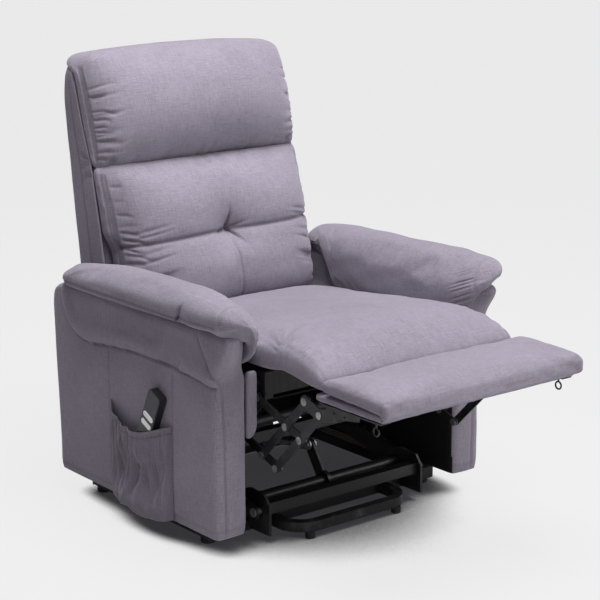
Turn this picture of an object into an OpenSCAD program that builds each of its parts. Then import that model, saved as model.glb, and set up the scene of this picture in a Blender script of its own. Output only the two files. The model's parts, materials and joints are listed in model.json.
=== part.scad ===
// Lift recliner chair, drawn with the leg rest out and the back at its upright stop.
// Millimetres. +Z up, the sitter faces -Y with the left hand on +X. The origin is on the
// floor, on the centre plane, under the middle of the chair's overall length.

/* [Overall] */
// Half width to the outer face of an arm panel
panel_half = 378; // [376:1:382]
// Thickness of an arm from its inner to its outer face
arm_thk = 73; // [70:1:74]
// Height of the arm panels' lower edge above the floor
panel_z = 52; // [50:1:56]
// Half width of the seat cushion
seat_half = 262; // [250:1:264]
// Height of the top of the seat cushion at its front edge
seat_top = 470; // [460:1:476]

/* [Back] */
// Lean of the back from upright at its upright stop, degrees
back_lean = 8; // [6:0.5:9]
// Half width of the back shell
back_half = 289; // [282:1:290]
// Half width of the lower back cushion
lumbar_half = 264; // [250:1:266]

/* [Base] */
// Width of a side rail tube
rail_w = 35; // [30:1:36]
// Height of a side rail tube
rail_h = 25; // [20:1:26]
// Wall of the steel tubes
tube_wall = 2; // [1.5:0.1:3]
// Half width of the anti-tip loop, to its tube's centre
loop_half = 160; // [150:1:166]
// Corner radius of the anti-tip loop, to its tube's centre
loop_r = 55; // [45:1:60]

/* [Lift mechanism] */
// Width of a rear lift arm
lift_arm_w = 40; // [34:1:42]
// Width of a front lift link
front_link_w = 30; // [26:1:32]
// Radius of the lift shaft
lift_shaft_r = 14; // [12:0.5:14]

/* [Leg rest mechanism] */
// Width of the leg rest links
leg_link_w = 18; // [15:0.5:19]
// Radius of the drive tube
drive_r = 12.5; // [10:0.5:12.5]
// Radius of the rivets in the leg rest links
rivet_r = 5; // [4:0.5:5]

/* [Handset] */
// Length of the handset
handset_l = 150; // [140:1:156]
// Width of the handset
handset_w = 46; // [40:1:50]
// Thickness of the handset
handset_t = 18; // [16:0.5:18.5]
// Travel of a handset button
button_travel = 1.2; // [0.8:0.1:1.4]

/* [Hidden] */
$fn = 48;

FABRIC = [0.50, 0.47, 0.53];
DARK = [0.10, 0.10, 0.11];
STEEL = [0.16, 0.16, 0.18];
ZINC = [0.62, 0.62, 0.64];
WOOD = [0.72, 0.58, 0.40];
TUBE_GREY = [0.22, 0.22, 0.24];
BOX_GREY = [0.13, 0.13, 0.15];
CLIP_WHITE = [0.85, 0.85, 0.82];
BUTTON_WHITE = [0.9, 0.9, 0.92];
COVER_BLACK = [0.05, 0.05, 0.055];
WEB_GREY = [0.20, 0.19, 0.20];

// Points and outlines are [y, z] in the side plane unless a comment says otherwise.

// Lift linkage pivots
front_base_pivot = [-252, 68.5];
shaft_pivot = [-200, 75];
front_chassis_pivot = [-70, 110];
rear_chassis_pivot = [137.6, 140];

// Lift push rod: its line passes lift_lever above the shaft, rising forwards
lift_lever = 80;
lift_rod_angle = 10;
lift_rod_dir = [-cos(lift_rod_angle), sin(lift_rod_angle)];
lift_rod_foot = shaft_pivot + lift_lever * [sin(lift_rod_angle), cos(lift_rod_angle)];
lift_motor_reach = 404;                    // along the rod line, from its foot to the motor pin
lift_fork_offset = lift_lever * tan(24);   // from the foot back to the fork pin
lift_rod_len = lift_motor_reach - lift_fork_offset;   // from the motor pin to the fork pin
lift_fork = lift_rod_foot - lift_fork_offset * lift_rod_dir;
lift_motor_pivot = lift_rod_foot - lift_motor_reach * lift_rod_dir;

// Leg rest linkage, which turns about leg_centre
recline_pivot = [205, 330];
leg_centre = [-355, 408];
drive_pivot = [-205, 255];
front_leg_pivot = [-285, 336.6];
leg_angle = 200;    // direction of the leg links, from +Y towards +Z
leg_dir = [cos(leg_angle), sin(leg_angle)];
inner_reach = 110;  // to the inner coupler, along the leg links
outer_reach = 160;  // to the outer coupler
bracket_pivots = [for (reach = [inner_reach, outer_reach]) leg_centre + reach * leg_dir];
rear_link_start = 17;   // from the drive pivot to the rear leg link's butt end

// Leg push rod: a level line leg_lever above the drive tube, in the plane x = leg_x
leg_lever = 40;
leg_x = 64;
leg_fork = drive_pivot + [leg_lever * tan(44), leg_lever];
leg_rod_z = leg_fork[1];
leg_motor_pivot = [196, 295];

// Inner faces of the side plates, in x
upright_x = 215;
lift_arm_x = 224;
lift_arm_t = 6;
front_link_x = 232;
front_link_t = 5;
chassis_x = 241;
link_t = 4;         // chassis plates, leg links, couplers and recline brackets
layer_pitch = 7;
leg_link_x = chassis_x + layer_pitch;
coupler_x = leg_link_x + layer_pitch;
bracket_x = coupler_x + layer_pitch;
bracket_t = 3;
chassis_out = chassis_x + link_t;
leg_link_out = leg_link_x + link_t;
coupler_out = coupler_x + link_t;
bracket_out = bracket_x + bracket_t;

// Pin and bolt radii, and clearances
fit = 0.05;         // radial clearance of a pin in its hole
play = 0.4;         // side gap beside a pivoting plate
front_base_pin_r = 7;
front_chassis_pin_r = 8;
rear_chassis_pin_r = 10;
front_leg_pin_r = 6;
recline_pin_r = 8;
lift_motor_pin_r = 6;
leg_motor_pin_r = 5;
frame_bolt_r = 3;
arm_bolt_r = 4;

// Base
rail_x = 308;       // centre of a side rail
rail_in = rail_x - rail_w / 2;
rail_out = rail_in + rail_w;
rail_z = 14;
rail_front = -204;
rail_back = 244;
loop_tube = 22;
loop_y = -305;      // centre of the loop's front bar
loop_back = -218;
loop_z = 16;

// Chassis cross tubes, and the bolts into the arms at their ends
cross_tube = 25;
cross_z = 187.5;
cross_ys = [-127.5, 202.5];
arm_bolts_at = [for (y = cross_ys) for (step = [-28, 28]) [y + step, cross_z]];

// Seat frame
seat_bolts_at = [[120, 362], [-262, 366]];
seat_out = 240;
seat_wood = 22;
seat_in = seat_out - seat_wood;
seat_front = -298;
seat_back = 158;
seat_z = 332;
seat_wood_top = 391;

// Footrest screws and back bolts
board_screws_at = [for (y = [-545, -650]) [250, y]];            // [x, y]
back_bolts_at = [for (z = [90, 140, 190]) [44, z]];             // in the back's frame
arm_in = panel_half - arm_thk;
footrest_front = -715;

// A 2D shape in the side plane, made thickness wide from x
module plate(x, thickness)
  translate([x, 0, 0]) rotate([90, 0, 90]) linear_extrude(thickness) children();
// An [x, z] shape drawn out forwards from y
module forward_slab(y, length)
  translate([0, y, 0]) rotate([90, 0, 0]) linear_extrude(length) children();
module both() {
  children();
  mirror([1, 0, 0]) children();
}
// A cylinder across the chair
module rod(point, radius, x0, x1)
  translate([x0, point[0], point[1]]) rotate([0, 90, 0]) cylinder(r = radius, h = x1 - x0);
// A cylinder on the local Y axis, forwards from y
module forward_rod(y, radius, length)
  translate([0, y, 0]) rotate([90, 0, 0]) cylinder(r = radius, h = length);
// The cutter for a hole through one of the side plates
module plate_hole(point, radius, x) rod(point, radius, x - 2, x + 6);
module disc(point, radius) translate(point) circle(r = radius);
// 2D bars between two points, with square ends or round ends
module bar(start, end, width) {
  run = end - start;
  translate(start) rotate(atan2(run[1], run[0])) translate([0, -width / 2])
    square([norm(run), width]);
}
module strip(start, end, width) {
  disc(start, width / 2);
  disc(end, width / 2);
  bar(start, end, width - 0.02);
}
module path(points, width)
  for (i = [0:len(points) - 2]) strip(points[i], points[i + 1], width);
module box(low, high) translate(low) cube(high - low);
// A rectangular tube along one axis: its ends are open
module tube_box(low, high, axis) difference() {
  box(low, high);
  box([for (i = [0:2]) i == axis ? low[i] - 1 : low[i] + tube_wall],
      [for (i = [0:2]) i == axis ? high[i] + 1 : high[i] - tube_wall]);
}
module rivet(point, radius, x0, x1, head_r, head_t) {
  rod(point, radius, x0, x1);
  rod(point, head_r, x1 - 0.01, x1 + head_t);
  rod(point, head_r, x0 - head_t, x0 + 0.01);
}
module frame_bolt(point, x0, head_x, head_t) {
  rod(point, frame_bolt_r, x0, head_x + 0.1);
  rod(point, 6.5, head_x, head_x + head_t);
}
// A push rod's fork and its pin, centred on x = 0
module fork(pin, back, width) {
  both() plate(5, 4) {
    disc(pin, 13);
    bar(pin, back, width);
  }
  rod(pin, 5, -11, 11);
  both() rod(pin, 8, 8.9, 12);
}
// The crank that a fork turns, and the slot that the fork's pin works in
function toward(start, end) = (end - start) / norm(end - start);
module crank(pivot, pin, hub_r, length, width) plate(-4, 8) {
  disc(pivot, hub_r);
  strip(pivot, pivot + length * toward(pivot, pin), width);
}
module crank_slot(pivot, pin, start, end, width) plate(-5, 10) {
  dir = toward(pivot, pin);
  strip(pivot + start * dir, pivot + end * dir, width);
}

// Base
upright_outline = [[-286, 20], [-286, 86], [-268, 108], [-216, 112], [-180, 98], [-174, 60],
  [-174, 20]];
module base_frame() color(STEEL) difference() {
  union() {
    both() {
      tube_box([rail_in, rail_front, rail_z], [rail_out, rail_back, rail_z + rail_h], 1);
      // upright that carries the lift shaft and the front link
      plate(upright_x, 6) polygon(upright_outline);
    }
    // front and rear cross tubes
    for (y = [-217, 196]) box([-rail_in - 1, y, 15], [rail_in + 1, y + 25, 37]);
    // raised cross bar between the uprights
    tube_box([-216, -272, 63], [216, -248, 88], 0);
    // actuator clevis on the rear cross tube
    for (x = [-33, 33]) plate(x - 2.5, 5) {
      disc(lift_motor_pivot, 17);
      bar(lift_motor_pivot, [lift_motor_pivot[0], 30], 33.98);
    }
  }
  both() {
    rod(shaft_pivot, lift_shaft_r + fit, 210, 225);
    rod(front_base_pivot, front_base_pin_r + fit, 214.9, 225);
  }
  rod(lift_motor_pivot, lift_motor_pin_r + fit, -40, 40);
}

// Rounded loop in front of the base that stops the chair tipping forwards
module anti_tip_loop() color(STEEL) translate([0, 0, loop_z]) linear_extrude(loop_tube) {
  half = loop_tube / 2;
  corner_x = loop_half - loop_r;
  corner_y = loop_y + loop_r;
  both() {
    translate([loop_half - half, corner_y - 0.5])
      square([loop_tube, loop_back - corner_y + 0.5]);
    translate([corner_x, corner_y]) intersection() {
      difference() {
        circle(r = loop_r + half, $fn = 64);
        circle(r = loop_r - half, $fn = 64);
      }
      translate([0, -loop_r - 12]) square([loop_r + 12, loop_r + 12]);
    }
  }
  translate([-corner_x - 0.5, loop_y - half]) square([2 * corner_x + 1, loop_tube]);
}

module base_rail_caps() color(DARK) both() {
  inset = tube_wall + 0.2;
  // Flanges, as [y0, y1, inner edge from the rail's]: the front one clears the cross tube
  for (cap = [[rail_front - 4.2, rail_front - 0.2, 1.6], [rail_back + 0.2, rail_back + 4.2, -1]])
    box([rail_in + cap[2], cap[0], rail_z - 1], [rail_out + 1, cap[1], rail_z + rail_h + 1]);
  // Plugs inside the rails, as [y0, y1]
  for (plug = [[rail_front - 0.3, rail_front + 18], [rail_back - 18, rail_back + 0.3]])
    box([rail_in + inset, plug[0], rail_z + inset],
        [rail_out - inset, plug[1], rail_z + rail_h - inset]);
}

module foot(x, y, radius, height) translate([x, y, 0]) {
  cylinder(r1 = radius - 1.5, r2 = radius, h = 2);
  translate([0, 0, 2]) cylinder(r = radius, h = height - 2);
}
module base_feet() color(DARK) both() {
  for (y = [-184, 226]) foot(rail_x, y, 17, rail_z - 0.2);
  foot(124, loop_y, loop_tube / 2, loop_z - 0.2);
}

module base_pivot_pins() color(ZINC) both() {
  rod(front_base_pivot, front_base_pin_r, upright_x + 0.2, 237.6);
  rod(front_base_pivot, 10.5, 237.5, 239.4);
  rod(lift_motor_pivot, lift_motor_pin_r, -39, 39);
  rod(lift_motor_pivot, 9.5, 36, 39.5);
}

// Lift drive. In its frame the motor pin is the origin and the push rod runs along -Y
module lift_drive() translate([0, lift_motor_pivot[0], lift_motor_pivot[1]])
  rotate([-lift_rod_angle, 0, 0]) children();
// Gear case on the clevis pin with the motor can beside it
module lift_motor() color(DARK) difference() {
  lift_drive() {
    can = [-44, 0];
    box([-26, -62, -27], [26, 22, 27]);
    rod(can, 22, 24, 32);
    rod(can, 25, 30, 122);
    rod(can, 19, 121, 130);
  }
  rod(lift_motor_pivot, lift_motor_pin_r + 0.1, -40, 40);
}
module lift_actuator_tube() color(TUBE_GREY) lift_drive() difference() {
  forward_rod(-62.2, 19, 150);
  forward_rod(-68, 10.6, 160);
}
module lift_push_rod() color(ZINC) {
  lift_drive() {
    forward_rod(-132, 10, lift_rod_len - 132 - 26);
    box([-9, 24 - lift_rod_len, -13], [9, 38 - lift_rod_len, 13]);
  }
  fork(lift_fork, lift_fork - 32 * lift_rod_dir, 25.9);
}

module lift_shaft_and_arms() color(STEEL) difference() {
  union() {
    rod(shaft_pivot, lift_shaft_r, -231, 231);
    both() plate(lift_arm_x, lift_arm_t) strip(shaft_pivot, rear_chassis_pivot, lift_arm_w);
    crank(shaft_pivot, lift_fork, hub_r = 24, length = 84, width = 30);
  }
  both() rod(rear_chassis_pivot, rear_chassis_pin_r + fit, 220, 235);
  crank_slot(shaft_pivot, lift_fork, start = 79, end = 89, width = 13);
}

module front_lift_links() color(STEEL) both() difference() {
  plate(front_link_x, front_link_t) strip(front_base_pivot, front_chassis_pivot, front_link_w);
  plate_hole(front_base_pivot, front_base_pin_r + fit, front_link_x);
  // a wide eye, because the link's chassis end is where the linkage is opened
  plate_hole(front_chassis_pivot, 9.8, front_link_x);
}

// Chassis
bracket_sides = [leg_x - 24, leg_x + 20];   // inner face x of each leg actuator bracket side
module chassis_plate() plate(chassis_x, link_t) {
  strip(front_leg_pivot, drive_pivot, 40);
  strip(drive_pivot, [-105, 185], 44);
  bar([-125, 185], [232, 185], 40);
  strip([-72, 178], front_chassis_pivot, 36);
  strip([137.6, 185], rear_chassis_pivot, 38);
  strip([208, 190], recline_pivot, 44);
  // ears for the seat bolts
  strip([120, 190], seat_bolts_at[0], 30);
  strip([-280, 340], seat_bolts_at[1], 30);
}
module chassis_frame() color(STEEL) difference() {
  half = cross_tube / 2;
  union() {
    both() chassis_plate();
    // front and rear cross tubes, which carry the arms on their end plates
    for (y = cross_ys) {
      tube_box([-301, y - half, cross_z - half], [301, y + half, cross_z + half], 0);
      both() box([300.8, y - 40, 165], [304.6, y + 40, 210]);
    }
    // leg actuator bracket
    for (x = bracket_sides) box([x, 186, 198], [x + 4, 214, 326]);
  }
  both() {
    plate_hole(drive_pivot, drive_r + fit, chassis_x);
    plate_hole(front_leg_pivot, front_leg_pin_r + fit, chassis_x);
    plate_hole(front_chassis_pivot, front_chassis_pin_r + fit, chassis_x);
    plate_hole(rear_chassis_pivot, rear_chassis_pin_r + fit, chassis_x);
    plate_hole(recline_pivot, recline_pin_r + fit, chassis_x);
    for (point = arm_bolts_at) rod(point, arm_bolt_r + 0.3, 298, 306);
    for (point = seat_bolts_at) plate_hole(point, frame_bolt_r + 0.3, chassis_x);
  }
  rod(leg_motor_pivot, leg_motor_pin_r + fit, leg_x - 30, leg_x + 30);
}

// Riveted pins, with spacers between the plates they join
module chassis_pivot_pins() color(ZINC) {
  both() {
    rivet(front_chassis_pivot, front_chassis_pin_r,
      front_link_x - 0.2, chassis_out + 0.2, 11, 1.5);
    rivet(rear_chassis_pivot, rear_chassis_pin_r,
      lift_arm_x - play, chassis_out + 0.2, 13, 2.2);
    rod(rear_chassis_pivot, 14, lift_arm_x + lift_arm_t + play, chassis_x - play);
    rivet(front_leg_pivot, front_leg_pin_r, chassis_x - play, leg_link_out + play, 9, 1.9);
    rod(front_leg_pivot, 9, chassis_out + play, leg_link_x - play);
    rivet(recline_pivot, recline_pin_r, chassis_x - play, leg_link_out + play, 12, 2.4);
    rod(recline_pivot, 12, chassis_out + play, leg_link_x - play);
  }
  rod(leg_motor_pivot, leg_motor_pin_r, leg_x - 27, leg_x + 27);
}

// Leg rest linkage
module drive_tube() color(STEEL) difference() {
  union() {
    rod(drive_pivot, drive_r, -leg_link_out, leg_link_out);
    both() plate(leg_link_x, link_t) strip(drive_pivot, drive_pivot + 30 * leg_dir, 26);
    translate([leg_x, 0, 0])
      crank(drive_pivot, leg_fork, hub_r = 22, length = 55, width = 34);
  }
  rod(drive_pivot, drive_r - 2.5, -253, 253);
  translate([leg_x, 0, 0]) crank_slot(drive_pivot, leg_fork, start = 39, end = 57, width = 19);
  // notches that take the rear leg links
  both() plate(leg_link_x - 1, 6)
    strip(drive_pivot + rear_link_start * leg_dir, drive_pivot + 60 * leg_dir, leg_link_w + 0.4);
}

// Parallel leg links, and couplers that keep one direction, so that the brackets turn
// exactly about leg_centre
module leg_link(pivot, start) difference() {
  plate(leg_link_x, link_t)
    strip(pivot + start * leg_dir, pivot + outer_reach * leg_dir, leg_link_w);
  for (reach = [inner_reach, outer_reach])
    plate_hole(pivot + reach * leg_dir, rivet_r + fit, leg_link_x);
}
module rear_leg_links() color(ZINC * 0.45) both()
  leg_link(drive_pivot, rear_link_start + leg_link_w / 2);
module front_leg_links() color(ZINC * 0.45) both() difference() {
  leg_link(front_leg_pivot, 0);
  plate_hole(front_leg_pivot, front_leg_pin_r + fit, leg_link_x);
}
module coupler(reach) difference() {
  plate(coupler_x, link_t)
    strip(drive_pivot + reach * leg_dir, leg_centre + reach * leg_dir, leg_link_w);
  for (pivot = [drive_pivot, front_leg_pivot, leg_centre])
    plate_hole(pivot + reach * leg_dir, rivet_r + fit, coupler_x);
}
module inner_leg_couplers() color(ZINC * 0.4) both() coupler(inner_reach);
module outer_leg_couplers() color(ZINC * 0.4) both() coupler(outer_reach);
// A link rivet and its spacer, which starts at spacer_x
module link_rivet(point, x0, x1, spacer_x) {
  rivet(point, rivet_r, x0, x1, 8, 1.6);
  rod(point, 8, spacer_x, spacer_x + 2.4);
}
module coupler_rivets(reach) color(ZINC) both() for (pivot = [drive_pivot, front_leg_pivot])
  link_rivet(pivot + reach * leg_dir, leg_link_x - play, coupler_out + play, leg_link_out + 0.3);
module inner_coupler_rivets() coupler_rivets(inner_reach);
module outer_coupler_rivets() coupler_rivets(outer_reach);

// Footrest
bracket_foot_outline = [[-526, 353], [-626, 369], [-626, 381], [-526, 381]];
module footrest_brackets() color(STEEL) both() difference() {
  union() {
    plate(bracket_x, bracket_t) {
      strip(bracket_pivots[0], bracket_pivots[1], 26);
      strip(bracket_pivots[1], [-548, 362], 26);
      polygon(bracket_foot_outline);
    }
    // flange under the board
    box([238, -690, 378], [bracket_out, -506, 381]);
  }
  for (point = bracket_pivots) plate_hole(point, rivet_r + fit, bracket_x);
  for (y = [-552, -584]) plate_hole([y, 370], 3, bracket_x);
  for (at = board_screws_at) translate([at[0], at[1], 370]) cylinder(r = 2.6, h = 20);
}
module footrest_rivets() color(ZINC) both() for (point = bracket_pivots)
  link_rivet(point, coupler_x - play, bracket_out + 0.2, coupler_out + 0.3);
module footrest_hooks() color(STEEL) both() translate([253, -665, 0]) {
  translate([0, 0, 357]) rotate([0, 90, 0]) rotate_extrude()
    translate([8, 0]) circle(r = 1.8, $fn = 20);
  translate([0, 0, 365.5]) cylinder(r = 2, h = 12.3);
}
module footrest_board() color(WOOD) difference() {
  box([-266, -700, 381.6], [266, -495, 399]);
  both() for (at = board_screws_at) translate([at[0], at[1], 380]) cylinder(r = 2.1, h = 14);
}
module footrest_screws() color(ZINC) both()
  for (at = board_screws_at) translate([at[0], at[1], 0]) {
    translate([0, 0, 375]) cylinder(r1 = 3.6, r2 = 4.6, h = 2.9);
    translate([0, 0, 377.8]) cylinder(r = 2, h = 14);
  }
footrest_outline = [[-526, 400], [-526, 430], [-532, 434], [-600, 434], [-690, 429],
  [-708, 424], [footrest_front, 412], [-714, 396], [-706, 390], [-702, 392], [-702, 400]];
module footrest_cushion() color(FABRIC) plate(-270, 540) polygon(footrest_outline);
chaise_outline = [[-341, 404], [-341, seat_top - 2], [-400, seat_top - 4], [-450, 462],
  [-500, 442], [-518, 432], [-520, 405], [-430, 402]];
module chaise_pad() color(FABRIC) plate(-seat_half, 2 * seat_half) polygon(chaise_outline);

// Leg rest drive, about the plane x = leg_x
module leg_motor() color(DARK) translate([leg_x, 0, 0]) difference() {
  can = [150, 292];
  union() {
    box([-19, 118, 270], [19, 206, 320]);
    rod(can, 22, 19, 97);
    rod(can, 17, 97, 105);
  }
  rod(leg_motor_pivot, leg_motor_pin_r + 0.1, -30, 30);
}
module leg_actuator_tube() color(TUBE_GREY) translate([leg_x, 0, leg_rod_z]) difference() {
  forward_rod(117.8, 17, 170);
  forward_rod(110, 8.6, 180);
}
module leg_push_rod() color(ZINC) translate([leg_x, 0, 0]) {
  translate([0, 0, leg_rod_z]) {
    forward_rod(60, 8, 60 - leg_fork[0] - 42);
    box([-9, leg_fork[0] + 38, -12], [9, leg_fork[0] + 50, 12]);
  }
  fork(leg_fork, leg_fork + [46, 0], 23.9);
}

// Electrics on the rear cross tube
electrics_z = 200.5;
module power_supply() color(DARK) {
  box([-200, 158, electrics_z], [-80, 248, 240]);
  box([-188, 248, 208], [-150, 256, 232]);
}
module control_box() color(BOX_GREY) difference() {
  box([112, 178, electrics_z], [204, 250, 228]);
  // sockets in the rear face
  for (x = [122:26:174]) box([x, 244, 208], [x + 18, 251, 220]);
}
supply_cable = [[109, 232], [60, 240], [-40, 243], [-77, 236]];   // [x, y]
motor_cable = [[212, 231], [200, 252], [186, 262], [178, 276]];
module motor_cables() color(DARK) {
  translate([0, 0, 218]) linear_extrude(4) path(supply_cable, 5);
  plate(170, 4) path(motor_cable, 5);
}

// Seat
module seat_frame() color(WOOD) difference() {
  union() {
    both() box([seat_in, seat_front, seat_z], [seat_out, seat_back, seat_wood_top]);
    for (y = [seat_front, seat_back - seat_wood])
      box([-seat_in - 0.5, y, 340], [seat_in + 0.5, y + seat_wood, seat_wood_top]);
  }
  both() {
    for (point = seat_bolts_at) rod(point, frame_bolt_r + fit, 222, 242);
    rod(front_leg_pivot, 10, 238, 242);
  }
}
// Five sinuous springs: half rings joined by straight bars, in a flat strip
spring_xs = [-176:88:176];
spring_n = 12;
spring_pitch = 34;
spring_wire = 3.6;
spring_front = -282;
spring_back = spring_front + spring_n * spring_pitch;
spring_z = 393.6;
module spring_bar(x, i, length)
  translate([x, i * spring_pitch - spring_wire / 2]) square([length, spring_wire]);
module sinuous_spring() linear_extrude(spring_wire) {
  for (i = [0:spring_n - 1]) translate([0, (i + 0.5) * spring_pitch]) {
    side = i % 2 == 0 ? 1 : -1;
    translate([side * 12, 0]) intersection() {
      difference() {
        circle(r = (spring_pitch + spring_wire) / 2, $fn = 32);
        circle(r = (spring_pitch - spring_wire) / 2, $fn = 32);
      }
      translate([side > 0 ? 0 : -30, -30]) square([30, 60]);
    }
  }
  for (i = [1:spring_n - 1]) spring_bar(-12.5, i, 25);
  spring_bar(-1, 0, 13.5);
  spring_bar(-12.5, spring_n, 23.5);
}
module seat_springs() color(ZINC) for (x = spring_xs)
  translate([x, spring_front, spring_z]) sinuous_spring();
module seat_spring_clips() color(CLIP_WHITE) for (x = spring_xs)
  // [centre, front face, rear face] in y
  for (clip = [[spring_front, -10, 6], [spring_back, -6, 10]]) {
    gap = 0.4;
    slot = spring_wire / 2 + gap;
    translate([x, clip[0], 0]) difference() {
      box([-0.5, clip[1], 391.2], [11, clip[2], 399.2]);
      box([-1.5, -slot, spring_z - gap], [12, slot, spring_z + spring_wire + gap]);
    }
  }
module seat_bolts() color(ZINC) both()
  for (point = seat_bolts_at) frame_bolt(point, 223, chassis_out + 0.2, 2.3);
module dust_cover() color(COVER_BLACK)
  box([2 - seat_in, seat_front + 2, seat_z - 4], [seat_in - 2, seat_back - 2, seat_z - 0.5]);
seat_outline = [[-337, 404], [-337, seat_top - 4], [-300, seat_top - 2],
  [-146, seat_top - 16], [20, 434], [88, 422], [150, 416], [158, 404]];
module seat_cushion() color(FABRIC) plate(-seat_half, 2 * seat_half) polygon(seat_outline);

// Arms, modelled on the left
arm_outline = [[-308, panel_z], [308, panel_z], [322, 440], [318, 470], [292, 490],
  [250, 500], [-255, 500], [-288, 474], [-304, 432], [-309, 383]];
arm_hollow = [[-300, panel_z - 1], [300, panel_z - 1], [314, 436], [310, 464], [286, 483],
  [248, 492], [-252, 492], [-281, 470], [-296, 430], [-301, 383]];
cover_t = 4;
module arm_cover() color(FABRIC) difference() {
  plate(arm_in, arm_thk) polygon(arm_outline);
  plate(arm_in + cover_t, arm_thk - 2 * cover_t) polygon(arm_hollow);
  for (point = arm_bolts_at) rod(point, 6, arm_in - 1, arm_in + 5);
}
module arm_frame() color(WOOD) difference() {
  inner = arm_in + cover_t + 0.5;
  outer = panel_half - cover_t - 0.5;
  rail = arm_in + 24;
  // Timbers: x0, y0, z0, x1, y1, z1
  timbers = [
    [inner, -293, 60, outer, -273, 424],         // front post
    [inner, 276, 60, outer, 298, 430],           // rear post
    [inner, -277, 60, rail, 277, 110],           // lower rail
    [inner, -277, 160, rail, 277, 215],          // rail behind the arm bolts
    [inner, -277, 432, outer, 277, 454],         // top board
    [outer - 4, -277, 100, outer, 277, 433],     // outer board
    [inner, -286, 400, outer, -262, 440],        // front top block
    [inner, 270, 400, outer, 298, 440]];         // rear top block
  union() for (t = timbers) box([t[0], t[1], t[2]], [t[3], t[4], t[5]]);
  for (point = arm_bolts_at) rod(point, arm_bolt_r + fit, arm_in, arm_in + 30);
}
// Top pillow that drapes down the inside of the arm to the seat: [x, z] outlines
pillow_middle = [[270, 405], [270, 530], [284, 554], [312, 562], [360, 562], [390, 550],
  [404, 524], [403, 503], [arm_in - 1.5, 503], [arm_in - 1.5, 405]];
pillow_rear = [[297, 503], [297, 538], [314, 552], [372, 552], [398, 536], [402, 503]];
pillow_front = [[274, 452], [276, 528], [292, 546], [370, 546], [394, 528], [398, 500],
  [380, 462], [330, 445]];
// Side outline of the arm's front, cut from the pillow
pillow_cut = [[-311.5, 380], [-311.5, 480], [-300, 503], [-290, 503], [-200, 503],
  [-200, 380]];
module arm_pad() color(FABRIC) difference() {
  union() {
    forward_slab(102, 404) polygon(pillow_middle);
    forward_slab(258, 157) polygon(pillow_rear);
    forward_slab(-301, 88) polygon(pillow_front);
  }
  plate(arm_in - 2, arm_thk + 60) polygon(pillow_cut);
}
module left_arm_cover() arm_cover();
module right_arm_cover() color(FABRIC) difference() {
  mirror([1, 0, 0]) arm_cover();
  cord_hole();
}
module left_arm_frame() arm_frame();
module right_arm_frame() color(WOOD) difference() {
  mirror([1, 0, 0]) arm_frame();
  cord_hole();
}
module left_arm_pad() arm_pad();
module right_arm_pad() mirror([1, 0, 0]) arm_pad();
module arm_bolts() color(ZINC) both() for (point = arm_bolts_at) {
  rod(point, arm_bolt_r, 300.6, 328);
  rod(point, 8, 295, 300.7);
}
// Fabric-wrapped boards that close the gap between the seat and each arm's front
module front_wing_panels() color(FABRIC) both()
  box([268.5, -316, 262], [arm_in - 0.5, -302, 400]);

// Handset in its pocket on the outside of the right arm
handset_top = [-123, 334];
handset_lean = 25;    // its foot towards the back
handset_in = -(panel_half + 2.7);
handset_out = handset_in - handset_t;
handset_x = (handset_in + handset_out) / 2;
handset_foot = handset_top + (handset_l + 0.6) * [sin(handset_lean), -cos(handset_lean)];
up_span = [57, 70];   // measured down from the handset's top
down_span = [77, 90];
module rounded_rect(width, height, radius) {
  square([width, height - 2 * radius], center = true);
  square([width - 2 * radius, height], center = true);
  for (i = [-1, 1]) for (j = [-1, 1])
    translate([i * (width / 2 - radius), j * (height / 2 - radius)]) circle(r = radius);
}
// A rounded slab lying along the handset over a span, its edges drawn in by inset
module handset_slab(x0, x1, span, width, radius, inset = 0)
  translate([0, handset_top[0], handset_top[1]]) rotate([handset_lean, 0, 0])
    translate([x0, 0, -(span[0] + span[1]) / 2]) rotate([90, 0, 90]) linear_extrude(x1 - x0)
      rounded_rect(width - 2 * inset, span[1] - span[0] - 2 * inset, radius - inset);
module button_slab(x0, x1, span, inset = 0)
  handset_slab(handset_out + x0, handset_out + x1, span, handset_w - 9, 6.49, inset);
pocket_outline = [[-158, 62], [78, 62], [78, 268], [68, 264], [30, 240], [-15, 229],
  [-60, 231], [-100, 242], [-150, 262], [-158, 264]];
module handset_pocket() color(FABRIC) difference() {
  plate(-panel_half - 26, 25.8) polygon(pocket_outline);
  plate(-panel_half - 23, 30) polygon([[-155, 65], [75, 65], [75, 280], [-155, 280]]);
}
module handset_body() color(DARK) difference() {
  union() {
    handset_slab(handset_out + 1, handset_in, [0, handset_l], handset_w, 9);
    handset_slab(handset_out, handset_out + 1.01, [0, handset_l], handset_w, 9, inset = 1.5);
  }
  for (span = [up_span, down_span]) button_slab(-1, 2 + button_travel, span);
}
module handset_button(span) color(BUTTON_WHITE) {
  button_slab(-0.7, 1.6, span, inset = 0.3);
  button_slab(-1.4, -0.69, span, inset = 1.1);
}
module handset_button_up() handset_button(up_span);
module handset_button_down() handset_button(down_span);
// The cord drops inside the pocket and goes through the arm panel behind it
cord_out = handset_foot + [4, -62];
module cord_hole() rod(cord_out, 4.5, -panel_half - 2, -panel_half + 14);
module handset_cord() color(DARK) {
  plate(handset_x - 2.5, 5)
    path([handset_foot - [0, 3], handset_foot + [16, -34], cord_out], 5);
  rod(cord_out, 2.6, handset_x - 1, -panel_half + 20);
}

// Back, in its own frame: the origin is the recline pivot, and +Z runs up the back
module back_at() translate([0, recline_pivot[0], recline_pivot[1]])
  rotate([-back_lean, 0, 0]) children();
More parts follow.
